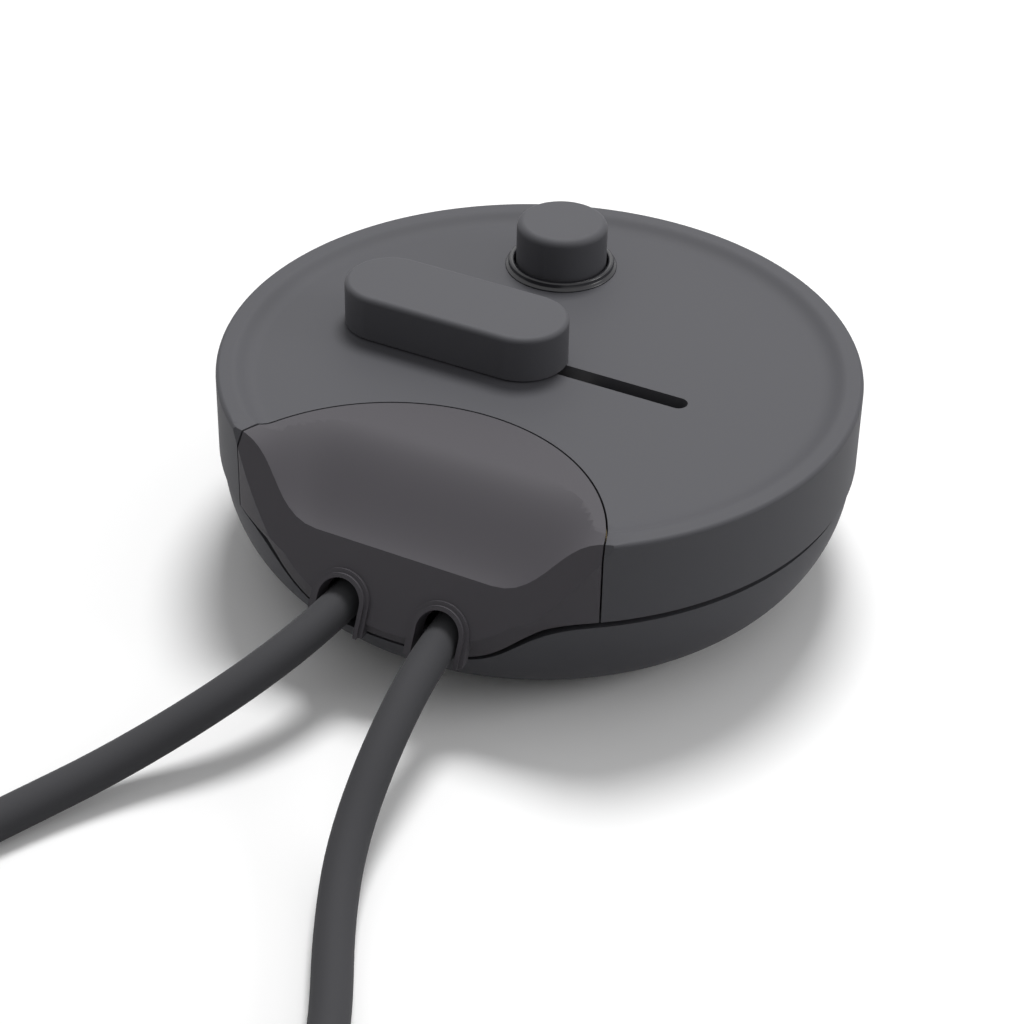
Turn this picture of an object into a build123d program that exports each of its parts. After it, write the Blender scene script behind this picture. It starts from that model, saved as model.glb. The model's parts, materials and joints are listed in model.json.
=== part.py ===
from build123d import *
import os
from math import acos, atan2, cos, degrees, hypot, pi, radians, sin, sqrt, tan

# A round foot dimmer for a lamp, in millimetres. The origin is the centre of the base on the floor,
# +Z is up, -Y is the front, where the two leads enter, and the slider runs along X.

# Drum and dished top
body_radius = 52.0
rim_height = 35.0
wall = 2.2
dish_depth = 1.2
rim_width = 2.4
dish_slope = 4.6
rim_rounding = 0.75
drum_wall_bottom = 21.3
dish_height = rim_height - dish_depth
plate_underside = dish_height - wall

# Bowl-shaped lower shell
parting_gap = 1.4
lip_gap = 0.7
shell_step = 0.6
foot_height = 1.0
base_radius = 38.0
shell_radius = body_radius - shell_step
shell_top = drum_wall_bottom - parting_gap
shell_bottom = foot_height
bowl_run = shell_radius - base_radius
bowl_rise = shell_top - shell_bottom
bowl_arc = (bowl_run**2 + bowl_rise**2) / (2 * bowl_run)
bowl_centre = shell_radius - bowl_arc
tongue_thickness = 1.3
tongue_clearance = 0.3
tongue_rise = 2.0
tongue_root = 3.0

# Dip of the parting line under the terminal cover
dip_bottom = 12.2
dip_inner = 9.0
dip_outer = 30.0

# Seam, inclined face and scooped top of the terminal cover
seam_radius = 32.1
seam_inset = 2.3
seam_centre_y = seam_inset - body_radius
seam_gap = 0.3
face_inset = 11.6
face_y = face_inset - body_radius
face_slope = 0.48
scoop_start_inset = 24.0
scoop_start_y = scoop_start_inset - body_radius
scoop_edge_inset = 6.7
scoop_edge_y = scoop_edge_inset - body_radius
scoop_drop = 9.1
scoop_flat = 15.0
scoop_reach = 34.0
scoop_stations = 7
partition_inner = 30.9
partition_outer = 33.3
partition_clearance = 0.3
partition_bottom = 13.0
partition_setback = 5.0
partition_clear_radius = body_radius - partition_setback
partition_step_height = 25.0

# Slider and its slot
slider_travel = 31.0
slot_width = 3.1
slot_half_length = 25.9
knob_length = 39.4
knob_width = 15.15
knob_height = 8.06
knob_wall = 2.0
knob_rounding = 0.7
knob_lift = 0.25
stem_clearance = 0.15
stem_width = 2.4
rest_x = -slider_travel / 2
stem_length = 2 * (slot_half_length - slider_travel / 2 - stem_clearance)
carriage_length = 48.0
carriage_width = 15.0
carriage_thickness = 1.6
carriage_clearance = 0.4
carriage_top = plate_underside - carriage_clearance
carriage_block = 9.0
carriage_block_depth = 7.0
stem_grip = 2.4

# Push button and its collar
button_x = -11.2
button_y = 30.3
button_radius = 7.77
button_proud = 8.7
button_rounding = 1.3
button_travel = 3.0
button_wall = 1.6
button_cap = 2.2
flange_width = 1.0
flange_thickness = 1.5
flange_clearance = 0.3
collar_clearance = 0.3
collar_height = 1.35
collar_top_radius = 9.02
collar_base_radius = 9.6
collar_sleeve = 0.85
collar_drop = 0.6
sleeve_clearance = 0.05
plunger_clearance = 0.3

# Circuit board, its posts and the screws from below
board_thickness = 1.6
board_height = 9.0
board_margin = 7.9
board_radius = shell_radius - board_margin
board_front_inset = 18.0
board_front_y = board_front_inset - body_radius
board_top = board_height + board_thickness
post_radius = 2.6
post_places = [(-36.0, 0.0), (36.0, 0.0), (6.0, 38.0)]
board_screw_radius = 1.2
board_screw_head_radius = 2.4
board_screw_head = 1.6
board_screw_length = 6.0
pillar_radius = 4.2
pillar_height = 11.0
pillar_places = [(-33.0, -13.0), (33.0, -13.0), (-33.0, 13.0), (33.0, 13.0)]
cover_pillar_x = 18.5
cover_pillar_inset = 21.0
cover_pillar_places = [(side * cover_pillar_x, cover_pillar_inset - body_radius) for side in (-1, 1)]
pillar_hole_clearance = 0.4
boss_radius = 3.6
boss_clearance = 0.1
screw_radius = 1.45
screw_hole_radius = 1.7
screw_head_radius = 2.7
screw_head = 2.0
screw_length = 14.0
screw_seat = 9.0
well_radius = 3.1

# Feet
foot_radius = 4.5
foot_recess = 1.2
foot_circle = 28.0
foot_clearance = 0.1

# Leads and their arches
lead_diameter = 5.8
lead_radius = lead_diameter / 2
lead_x = 8.5
lead_height = 15.0
sheath_end_inset = 15.5
sheath_end_y = sheath_end_inset - body_radius
arch_height = 16.2
arch_radius = 3.6
arch_ring_inner = 4.3
arch_ring_outer = 4.95
arch_step_inner = 0.9
arch_step_outer = 0.45
lead_notch = 0.2
floor_lead_height = lead_radius + 0.1

# Cord grips on the clamp shelf
shelf_half_width = 17.5
shelf_inset = 8.0
shelf_depth = 6.4
shelf_front_y = shelf_inset - body_radius
shelf_back_y = shelf_front_y + shelf_depth
shelf_height = 14.6
grip_length = 15.0
grip_depth = 4.6
grip_bottom = 15.4
grip_top = 19.6
grip_fit = 0.05
grip_screw_offset = 5.6
grip_screw_radius = 1.3
grip_screw_head_radius = 2.3
grip_screw_head = 1.5
grip_screw_length = 9.0

# Terminal block
block_half_width = 13.8
block_inset = 21.0
block_depth = 8.5
block_front_y = block_inset - body_radius
block_back_y = block_front_y + block_depth
block_height = 11.0
terminal_pitch = 4.6
terminal_count = 6
terminal_height = 15.0
clamp_size = 3.4
clamp_length = 7.4
clamp_screw_radius = 1.2
core_radius = 0.85
core_in_clamp = 0.5
core_straight = 1.4
core_bend = 1.6

# Electrical pieces on the board
pot_half_length = 31.0
pot_half_width = 4.5
pot_height = 7.0
pot_wall = 0.8
pot_slot_width = 2.0
lever_width = 4.6
lever_thickness = 1.2
lever_clearance = 0.4
lever_grip = 5.0
wiper_length = 9.0
wiper_thickness = 3.0
switch_size = 14.0
switch_height = 12.0
switch_wall = 1.4
plunger_size = 5.0
plunger_depth = 6.0
spring_radius = 4.4
spring_wire = 0.4
spring_turns = 6
choke_x = 8.0
choke_y = 22.5
choke_radius = 7.4
choke_half_width = 2.4
choke_height = 8.0
choke_wire = 0.5
choke_bevel = 0.7
choke_turns = 14
sink_x = 24.5
sink_y = 26.5
sink_thickness = 1.8
sink_length = 18.0
sink_height = 18.0
fin_depth = 4.6
fin_count = 4
fin_thickness = 1.4
triac_thickness = 4.4
triac_width = 10.0
triac_body = 9.0
triac_tab = 15.0
triac_tab_thickness = 1.3
triac_lift = 3.0
triac_hole = 1.8
cap_x = -24.0
cap_y = 17.0
cap_size = (8.0, 18.0, 15.0)
timing_cap_place = (5.0, -10.5)
timing_cap_size = (9.0, 4.0, 8.0)
bulk_cap_place = (29.0, -21.5)
bulk_cap_radius = 4.0
bulk_cap_height = 11.0
resistor_places = [(14.0, -10.5), (19.0, -10.5), (24.0, -10.5)]
resistor_length = 6.5
resistor_radius = 1.25
diac_place = (-30.0, -22.0)
diac_length = 4.0
diac_radius = 0.95
fuse_x = -14.0
fuse_y = -10.5
fuse_length = 20.0
fuse_radius = 2.6
fuse_clip_width = 5.0
fuse_clip_wall = 0.5

# Coils of the length that lies put away, the lamp lead's on top of the mains lead's, and the plug
coil_centre = (8.7, -190.0)
coil_lift = 0.1
mains_coil_radius = 29.4
mains_coil_columns = 3
mains_coil_height = 16.0
lamp_coil_radius = 32.3
lamp_coil_columns = 2
lamp_coil_height = lead_diameter + 0.1
lamp_coil_base = coil_lift + mains_coil_height
lamp_coil_level = lamp_coil_base + lamp_coil_height / 2
lamp_coil_top = lamp_coil_base + lamp_coil_height
tail_height = floor_lead_height + lead_diameter + 0.1
tail_length = 28.0
plug_width = 48.0
plug_narrow = 27.0
plug_length = 46.0
plug_thickness = 17.0
plug_rounding = 2.5
plug_corner = 6.0
relief_length = 24.0
relief_radius = 4.6
relief_tip = 3.3
relief_grooves = 5
relief_pitch = 3.6
relief_groove_depth = 0.6
pin_spacing = 22.2
pin_setback = 12.0
blade = (4.0, 6.35, 17.7)
earth_pin = (8.0, 4.0, 22.7)
sleeve_length = 9.0
pin_root = 4.0
pin_sleeve_wall = 0.6
bared_length = 26.0
ferrule_length = 8.0
ferrule_radius = 0.75
core_splay = 9.0
core_step = 1.8
core_end_bend = 12.0

os.makedirs("parts", exist_ok=True)


def save(piece, name):
    """Label one finished piece and write its STEP file."""
    piece.label = name
    export_step(piece, f"parts/{name}.step")


def bowl_radius_at(height, inset):
    """Radius of the bowl's wall at a height, drawn in by inset."""
    return bowl_centre + sqrt((bowl_arc - inset) ** 2 - (shell_top - height) ** 2)


def drum_block(inset):
    """The whole drum down to its base as a closed form, drawn in from its faces by inset."""
    top = dish_height - inset
    side = body_radius - inset
    floor = shell_bottom + inset
    with BuildPart() as block:
        with BuildSketch(Plane.XZ):
            with BuildLine():
                if inset == 0:
                    rim_inner = body_radius - rim_width
                    dish_radius = rim_inner - dish_slope
                    Line((0, top), (dish_radius, top))
                    Bezier(
                        (dish_radius, top),
                        (dish_radius + dish_slope * 0.55, top),
                        (rim_inner - dish_slope * 0.3, rim_height),
                        (rim_inner, rim_height),
                    )
                    Line((rim_inner, rim_height), (side - rim_rounding, rim_height))
                    CenterArc((side - rim_rounding, rim_height - rim_rounding), rim_rounding, 0, 90)
                    Line((side, rim_height - rim_rounding), (side, drum_wall_bottom))
                else:
                    Line((0, top), (side, top))
                    Line((side, top), (side, drum_wall_bottom))
                Line((side, drum_wall_bottom), (shell_radius - inset, shell_top))
                TangentArc(
                    (shell_radius - inset, shell_top),
                    (bowl_radius_at(floor, inset), floor),
                    tangent=(0, -1),
                )
                Line((bowl_radius_at(floor, inset), floor), (0, floor))
                Line((0, floor), (0, top))
            make_face()
        revolve(axis=Axis.Z)
    return block.part


def bowl_block(inset):
    """The lower shell's form with its wall carried straight up, drawn in by inset."""
    top = dish_height
    floor = shell_bottom + inset
    with BuildPart() as block:
        with BuildSketch(Plane.XZ):
            with BuildLine():
                Line((0, top), (shell_radius - inset, top))
                Line((shell_radius - inset, top), (shell_radius - inset, shell_top))
                TangentArc(
                    (shell_radius - inset, shell_top),
                    (bowl_radius_at(floor, inset), floor),
                    tangent=(0, -1),
                )
                Line((bowl_radius_at(floor, inset), floor), (0, floor))
                Line((0, floor), (0, top))
            make_face()
        revolve(axis=Axis.Z)
    return block.part


def zone_above(level, dip_level):
    """All space above the parting line, which dips in an S-curve to the front."""
    reach = body_radius + 10
    middle = (dip_inner + dip_outer) / 2
    with BuildPart() as zone:
        with BuildSketch(Plane.XY.offset(level)):
            Rectangle(2 * reach, 2 * reach)
        extrude(amount=2 * rim_height)
        with BuildSketch(Plane.XZ.offset(reach)):
            with BuildLine():
                for side in (-1, 1):
                    Bezier(
                        (side * dip_inner, dip_level),
                        (side * middle, dip_level),
                        (side * middle, level),
                        (side * dip_outer, level),
                    )
                Line((-dip_inner, dip_level), (dip_inner, dip_level))
                Line((-dip_outer, level), (-dip_outer, level + 1))
                Line((-dip_outer, level + 1), (dip_outer, level + 1))
                Line((dip_outer, level + 1), (dip_outer, level))
            make_face()
        extrude(amount=-(reach + shelf_back_y))
    return zone.part


def smooth(share):
    """Smooth step from 0 to 1."""
    return share * share * (3 - 2 * share)


def scoop(inset):
    """Cutter for the swoop of the cover's top down to its ledge, lowered by inset."""
    swoop_share = 0.85
    high = rim_height + 10
    reach = body_radius + 10
    run = scoop_start_y - scoop_edge_y
    stations = [(scoop_start_y + 4, dish_height + 0.5)]
    for index in range(scoop_stations + 1):
        share = index / scoop_stations
        drop = scoop_drop * smooth(share * swoop_share) / smooth(swoop_share)
        stations.append((scoop_start_y - run * share, dish_height - drop))
    end_tilt = 0.36
    beyond = 12.0
    stations.append((scoop_edge_y - beyond, dish_height - scoop_drop - beyond * end_tilt))
    flat = scoop_flat + 0.4 * inset
    outer = scoop_reach + 0.4 * inset
    middle = (flat + outer) / 2
    rim = rim_height - inset
    with BuildPart() as cutter:
        for y, height in stations:
            low = height - inset
            with BuildSketch(Plane.XZ.offset(-(y + 0.4 * inset))):
                with BuildLine():
                    for side in (-1, 1):
                        Bezier(
                            (side * flat, low),
                            (side * middle, low),
                            (side * middle, rim),
                            (side * outer, rim),
                        )
                        Line((side * outer, rim), (side * reach, rim))
                        Line((side * reach, rim), (side * reach, high))
                    Line((-flat, low), (flat, low))
                    Line((-reach, high), (reach, high))
                make_face()
        loft()
    return cutter.part


face_plane = Plane(origin=(0, face_y, rim_height), x_dir=(1, 0, 0), z_dir=(0, -1, face_slope))


def face_cutter(inset):
    """Everything in front of the cover's inclined face, drawn in by inset."""
    with BuildPart() as cutter:
        with BuildSketch(face_plane.offset(-inset)):
            Rectangle(3 * body_radius, 3 * body_radius)
        extrude(amount=body_radius)
    return cutter.part


def seam_column(radius):
    """Upright column round the seam's centre."""
    with BuildPart() as column:
        with BuildSketch(Plane.XY):
            with Locations((0, seam_centre_y)):
                Circle(radius)
        extrude(amount=rim_height + 10)
    return column.part


def upright(places, radius, low, high):
    """Upright cylinders at the given places."""
    with BuildPart() as columns:
        with BuildSketch(Plane.XY.offset(low)):
            with Locations(*places):
                Circle(radius)
        extrude(amount=high - low)
    return columns.part


def box_between(low, high):
    """A box between two corners."""
    with BuildPart() as block:
        with Locations([tuple((a + b) / 2 for a, b in zip(low, high))]):
            Box(*[b - a for a, b in zip(low, high)])
    return block.part


# Drum shell: the outer form less the inner form, shared by the top housing and its cover
drum_zone = zone_above(drum_wall_bottom, dip_bottom)


def hollow_form(inset):
    """The drum's form with its scoop and inclined face, all drawn in by inset."""
    block = drum_block(inset)
    swoop = scoop(inset)
    front = face_cutter(inset)
    with BuildPart() as form:
        add(block)
        add(swoop, mode=Mode.SUBTRACT)
        add(front, mode=Mode.SUBTRACT)
    return form.part


hollow = hollow_form(wall)

outer_form = hollow_form(0)

with BuildPart() as solid_drum:
    add(outer_form)
    add(drum_zone, mode=Mode.INTERSECT)

with BuildPart() as drum_shell:
    add(solid_drum.part)
    add(hollow, mode=Mode.SUBTRACT)

# Top housing: slot, button hole, screw bosses and the wall round the terminal compartment
top_cutter = seam_column(seam_radius + seam_gap / 2)
partition_ring = seam_column(partition_outer)
partition_bore = seam_column(partition_inner)
partition_high = upright([(0, 0)], body_radius - wall, partition_step_height, plate_underside)
partition_low = upright([(0, 0)], partition_clear_radius, partition_bottom, partition_step_height)
under_cover = hollow_form(wall + partition_clearance)
boss_bottom = pillar_height + boss_clearance
housing_bosses = upright(pillar_places, boss_radius, boss_bottom, plate_underside + wall / 2)
screw_tip = screw_seat + screw_length + 1.0
housing_pilots = upright(pillar_places, screw_radius, boss_bottom, screw_tip)

with BuildPart() as partition_outside:
    add(partition_high)
    add(partition_low)
    add(partition_ring, mode=Mode.INTERSECT)
    add(top_cutter, mode=Mode.SUBTRACT)
    add(hollow, mode=Mode.INTERSECT)

with BuildPart() as partition_lip:
    add(partition_high)
    add(partition_low)
    add(partition_ring, mode=Mode.INTERSECT)
    add(partition_bore, mode=Mode.SUBTRACT)
    add(under_cover, mode=Mode.INTERSECT)

with BuildPart() as top_housing:
    add(drum_shell.part)
    add(top_cutter, mode=Mode.SUBTRACT)
    add(partition_outside.part)
    add(partition_lip.part)
    add(housing_bosses)
    add(housing_pilots, mode=Mode.SUBTRACT)
    with BuildSketch(Plane.XY.offset(plate_underside - 1)):
        SlotOverall(2 * slot_half_length, slot_width)
        with Locations((button_x, button_y)):
            Circle(button_radius + collar_clearance + collar_sleeve + sleeve_clearance)
    extrude(amount=wall + 2, mode=Mode.SUBTRACT)
save(top_housing.part, "top_housing")

# Terminal cover: the rest of the drum shell, with two collared arches and two screw bosses
cover_column = seam_column(seam_radius - seam_gap / 2)
cover_bosses = upright(cover_pillar_places, boss_radius, boss_bottom, rim_height)
cover_pilots = upright(cover_pillar_places, screw_radius, boss_bottom, screw_tip)
face_lean = sqrt(1 + face_slope**2)
arch_v = (arch_height - rim_height) * face_lean
arch_foot_v = (dip_bottom - rim_height) * face_lean

with BuildPart() as boss_form:
    add(cover_bosses)
    add(outer_form, mode=Mode.INTERSECT)


def arch_profile(radius, foot):
    """Two arched outlines on the inclined face, open towards the foot."""
    with BuildSketch(face_plane) as outline:
        for side in (-1, 1):
            with Locations((side * lead_x, arch_v)):
                Circle(radius)
            with Locations((side * lead_x, (arch_v + foot) / 2)):
                Rectangle(2 * radius, arch_v - foot)
    return outline.sketch


with BuildPart() as terminal_cover:
    add(drum_shell.part)
    add(cover_column, mode=Mode.INTERSECT)
    add(boss_form.part)
    add(cover_pilots, mode=Mode.SUBTRACT)
    extrude(arch_profile(arch_ring_outer, arch_foot_v), amount=arch_step_outer)
    extrude(arch_profile(arch_ring_inner, arch_foot_v), amount=arch_step_inner)
    extrude(arch_profile(arch_radius, arch_foot_v - wall), amount=2 * wall, both=True, mode=Mode.SUBTRACT)
save(terminal_cover.part, "terminal_cover")

# Bottom housing: bowl shell with tongue, pillars, posts, clamp shelf, screw wells and foot recesses
below_gap = zone_above(shell_top, dip_bottom - lip_gap)
tongue_top = zone_above(drum_wall_bottom + tongue_rise, dip_bottom + tongue_rise)
tongue_low = zone_above(shell_top - tongue_root, dip_bottom - lip_gap - tongue_root)
bowl_outer = bowl_block(0)
bowl_inner = bowl_block(wall)
root_outer = bowl_block(wall / 2)
tongue_outer = bowl_block(wall + tongue_clearance)
tongue_inner = bowl_block(wall + tongue_clearance + tongue_thickness)
pillars = upright(pillar_places + cover_pillar_places, pillar_radius, shell_bottom, pillar_height)
posts = upright(post_places, post_radius, shell_bottom + wall / 2, board_height)
wells = upright(pillar_places + cover_pillar_places, well_radius, -1, screw_seat)
screw_holes = upright(pillar_places + cover_pillar_places, screw_hole_radius, -1, pillar_height + 1)
post_holes = upright(post_places, board_screw_radius, board_top - board_screw_length - 0.5, board_height)
foot_places = [(foot_circle * cos(radians(a)), foot_circle * sin(radians(a))) for a in (45, 135, 225, 315)]
recesses = upright(foot_places, foot_radius + foot_clearance, -1, shell_bottom + foot_recess)
shelf_middle_y = (shelf_front_y + shelf_back_y) / 2
grip_screw_depth = grip_screw_length - (grip_top - shelf_height) + 0.5
shelf = box_between(
    (-shelf_half_width, shelf_front_y, shell_bottom),
    (shelf_half_width, shelf_back_y, shelf_height),
)

with BuildPart() as tongue:
    add(tongue_outer)
    add(tongue_low, mode=Mode.INTERSECT)
    add(tongue_top, mode=Mode.SUBTRACT)

with BuildPart() as tongue_base:
    add(root_outer)
    add(tongue_low, mode=Mode.INTERSECT)
    add(below_gap, mode=Mode.SUBTRACT)

with BuildPart() as seated:
    add(shelf)
    add(pillars)
    add(posts)
    add(root_outer, mode=Mode.INTERSECT)

with BuildPart() as bottom_housing:
    add(bowl_outer)
    add(bowl_inner, mode=Mode.SUBTRACT)
    add(below_gap, mode=Mode.SUBTRACT)
    add(tongue.part)
    add(tongue_base.part)
    add(tongue_inner, mode=Mode.SUBTRACT)
    add(seated.part)
    add(wells, mode=Mode.SUBTRACT)
    add(screw_holes, mode=Mode.SUBTRACT)
    add(post_holes, mode=Mode.SUBTRACT)
    add(recesses, mode=Mode.SUBTRACT)
    for x in (-lead_x, lead_x):
        with BuildSketch(Plane.XZ.offset(-shelf_back_y - 2)):
            with Locations((x, lead_height)):
                Circle(lead_radius + lead_notch)
            with Locations((x, lead_height + lead_radius)):
                Rectangle(2 * (lead_radius + lead_notch), 2 * lead_radius)
        extrude(amount=body_radius, mode=Mode.SUBTRACT)
        with Locations(*[(x + side * grip_screw_offset, shelf_middle_y, shelf_height) for side in (-1, 1)]):
            Cylinder(grip_screw_radius, 2 * grip_screw_depth, mode=Mode.SUBTRACT)
save(bottom_housing.part, "bottom_housing")


# Screws: a pan head on its seat, with a cross recess, and a shank that points up or down
def pan_screws(places, head_radius, head, radius, length, seat, turn):
    """A group of like screws; turn is 1 where the shank points up and -1 where it points down."""
    recess = head_radius / 4
    with BuildPart() as screws:
        with BuildSketch(Plane.XY.offset(seat)):
            with Locations(*places):
                Circle(head_radius)
        extrude(amount=-turn * head)
        with BuildSketch(Plane.XY.offset(seat)):
            with Locations(*places):
                Circle(radius)
        extrude(amount=turn * length)
        with BuildSketch(Plane.XY.offset(seat - turn * head)):
            with Locations(*places):
                Rectangle(5 * recess, recess)
                Rectangle(recess, 5 * recess)
        extrude(amount=turn * head * 0.6, mode=Mode.SUBTRACT)
    return screws.part


pillar_screw = (screw_head_radius, screw_head, screw_radius, screw_length, screw_seat, 1)
save(pan_screws(pillar_places, *pillar_screw), "housing_screws")
save(pan_screws(cover_pillar_places, *pillar_screw), "cover_screws")
board_screw = (board_screw_head_radius, board_screw_head, board_screw_radius, board_screw_length)
save(pan_screws(post_places, *board_screw, board_top, -1), "board_screws")
grip_screw_places = [
    (x + side * grip_screw_offset, shelf_middle_y) for x in (-lead_x, lead_x) for side in (-1, 1)
]
grip_screw = (grip_screw_head_radius, grip_screw_head, grip_screw_radius, grip_screw_length)
save(pan_screws(grip_screw_places, *grip_screw, grip_top, -1), "grip_screws")

# Feet, let into the base
with BuildPart() as rubber_feet:
    with BuildSketch(Plane.XY):
        with Locations(*foot_places):
            Circle(foot_radius)
    extrude(amount=shell_bottom + foot_recess)
save(rubber_feet.part, "rubber_feet")


# Slider: knob with its stem, carriage under the slot, and the lever of the potentiometer
def stadium(length, width, low, high, x=rest_x):
    """An upright block with round ends on the slider's line."""
    with BuildPart() as block:
        with BuildSketch(Plane.XY.offset(low)):
            with Locations((x, 0)):
                SlotOverall(length, width)
        extrude(amount=high - low)
    return block.part


knob_bottom = dish_height + knob_lift
knob_top = dish_height + knob_height
stem_bottom = carriage_top - carriage_thickness - stem_grip
knob_hollow = stadium(knob_length - 2 * knob_wall, knob_width - 2 * knob_wall, 0, knob_top - knob_wall)
knob_stem = stadium(stem_length, stem_width, stem_bottom, knob_top - knob_wall / 2)

with BuildPart() as slider_knob:
    with BuildSketch(Plane.XY.offset(knob_bottom)):
        with Locations((rest_x, 0)):
            SlotOverall(knob_length, knob_width)
    extrude(amount=knob_top - knob_bottom)
    fillet(slider_knob.faces().sort_by(Axis.Z)[-1].edges(), radius=knob_rounding)
    add(knob_hollow, mode=Mode.SUBTRACT)
    add(knob_stem)
save(slider_knob.part, "slider_knob")

carriage_plate = stadium(carriage_length, carriage_width, carriage_top - carriage_thickness, carriage_top)
stem_socket = stadium(
    stem_length + 2 * grip_fit, stem_width + 2 * grip_fit, stem_bottom - grip_fit, carriage_top
)
block_low = stem_bottom - carriage_block_depth
grip_block = box_between(
    (rest_x - stem_length / 2 - 1, -carriage_block / 2, stem_bottom - 1),
    (rest_x + stem_length / 2 + 1, carriage_block / 2, carriage_top - carriage_thickness),
)
lever_block = box_between(
    (rest_x - carriage_block / 2, -carriage_block / 2, block_low),
    (rest_x + carriage_block / 2, carriage_block / 2, stem_bottom),
)
lever_top = block_low + lever_grip
lever_socket = box_between(
    (rest_x - lever_width / 2 - grip_fit, -lever_thickness / 2 - grip_fit, block_low),
    (rest_x + lever_width / 2 + grip_fit, lever_thickness / 2 + grip_fit, lever_top + grip_fit),
)

with BuildPart() as slider_carriage:
    add(carriage_plate)
    add(grip_block)
    add(lever_block)
    add(stem_socket, mode=Mode.SUBTRACT)
    add(lever_socket, mode=Mode.SUBTRACT)
save(slider_carriage.part, "slider_carriage")

wiper_bottom = board_top + 1.6
with BuildPart() as pot_lever:
    add(
        box_between(
            (rest_x - lever_width / 2, -lever_thickness / 2, wiper_bottom),
            (rest_x + lever_width / 2, lever_thickness / 2, lever_top),
        )
    )
    wiper_half_width = pot_half_width - pot_wall - 0.2
    add(
        box_between(
            (rest_x - wiper_length / 2, -wiper_half_width, wiper_bottom),
            (rest_x + wiper_length / 2, wiper_half_width, wiper_bottom + wiper_thickness),
        )
    )
save(pot_lever.part, "pot_lever")

pot_top = board_top + pot_height
with BuildPart() as slide_pot:
    add(box_between((-pot_half_length, -pot_half_width, board_top), (pot_half_length, pot_half_width, pot_top)))
    add(
        box_between(
            (-pot_half_length + pot_wall, -pot_half_width + pot_wall, board_top + pot_wall),
            (pot_half_length - pot_wall, pot_half_width - pot_wall, pot_top - pot_wall),
        ),
        mode=Mode.SUBTRACT,
    )
    pot_slot = slider_travel + lever_width + 2 * lever_clearance
    with BuildSketch(Plane.XY.offset(pot_top - 2 * pot_wall)):
        SlotOverall(pot_slot + pot_slot_width, pot_slot_width)
    extrude(amount=3 * pot_wall, mode=Mode.SUBTRACT)
save(slide_pot.part, "slide_pot")

# Collar, button, switch and return spring
button_bore = button_radius + collar_clearance
sleeve_radius = button_bore + collar_sleeve
sleeve_bottom = plate_underside - collar_drop
button_top = dish_height + button_proud
flange_top = sleeve_bottom - flange_clearance
flange_bottom = flange_top - flange_thickness
button_axis = Axis((button_x, button_y, 0), (0, 0, 1))
button_plane = Plane(origin=(button_x, button_y, 0), x_dir=(1, 0, 0), z_dir=(0, -1, 0))
switch_top = board_top + switch_height
plunger_top = board_top + switch_height + button_travel + 0.3
stem_end = plunger_top + plunger_clearance

with BuildPart() as button_bezel:
    with BuildSketch(button_plane):
        with BuildLine():
            Polyline(
                (button_bore, sleeve_bottom),
                (sleeve_radius, sleeve_bottom),
                (sleeve_radius, dish_height),
                (collar_base_radius, dish_height),
                (collar_base_radius, dish_height + 0.3),
                (collar_top_radius + 0.1, dish_height + 0.5),
                (collar_top_radius, dish_height + collar_height - 0.2),
                (collar_top_radius - 0.2, dish_height + collar_height),
                (button_bore, dish_height + collar_height),
                close=True,
            )
        make_face()
    revolve(axis=button_axis)
save(button_bezel.part, "button_bezel")

button_inner = button_radius - button_wall
button_stem_radius = plunger_size / 2
with BuildPart() as push_button:
    with BuildSketch(button_plane):
        with BuildLine():
            Line((0, button_top), (button_radius - button_rounding, button_top))
            CenterArc((button_radius - button_rounding, button_top - button_rounding), button_rounding, 0, 90)
            Polyline(
                (button_radius, button_top - button_rounding),
                (button_radius, flange_top),
                (button_radius + flange_width, flange_top),
                (button_radius + flange_width, flange_bottom),
                (button_inner, flange_bottom),
                (button_inner, button_top - button_cap),
                (button_stem_radius, button_top - button_cap),
                (button_stem_radius, stem_end),
                (0, stem_end),
                (0, button_top),
            )
        make_face()
    revolve(axis=button_axis)
save(push_button.part, "push_button")

half_switch = switch_size / 2
with BuildPart() as switch_body:
    add(
        box_between(
            (button_x - half_switch, button_y - half_switch, board_top),
            (button_x + half_switch, button_y + half_switch, switch_top),
        )
    )
    fillet(switch_body.edges().filter_by(Axis.Z), radius=1.0)
    add(
        box_between(
            (button_x - half_switch + switch_wall, button_y - half_switch + switch_wall, board_top + switch_wall),
            (button_x + half_switch - switch_wall, button_y + half_switch - switch_wall, switch_top - switch_wall),
        ),
        mode=Mode.SUBTRACT,
    )
    with BuildSketch(Plane.XY.offset(switch_top - 2 * switch_wall)):
        with Locations((button_x, button_y)):
            Rectangle(plunger_size + 0.4, plunger_size + 0.4)
    extrude(amount=3 * switch_wall, mode=Mode.SUBTRACT)
save(switch_body.part, "switch_body")

plunger_bottom = switch_top - plunger_depth
half_plunger = plunger_size / 2
with BuildPart() as switch_plunger:
    add(
        box_between(
            (button_x - half_plunger, button_y - half_plunger, plunger_bottom),
            (button_x + half_plunger, button_y + half_plunger, plunger_top),
        )
    )
    chamfer(switch_plunger.faces().sort_by(Axis.Z)[-1].edges(), length=0.4)
save(switch_plunger.part, "switch_plunger")

spring_bottom = switch_top + spring_wire
spring_top = button_top - button_cap - spring_wire
spring_height = spring_top - spring_bottom
with BuildPart() as button_spring:
    with BuildLine():
        coil_line = Helix(
            pitch=spring_height / spring_turns,
            height=spring_height,
            radius=spring_radius,
            center=(button_x, button_y, spring_bottom),
        )
    with BuildSketch(Plane(origin=coil_line @ 0, z_dir=coil_line % 0)):
        RegularPolygon(spring_wire, 6)
    sweep(is_frenet=True)
save(button_spring.part, "button_spring")

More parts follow.
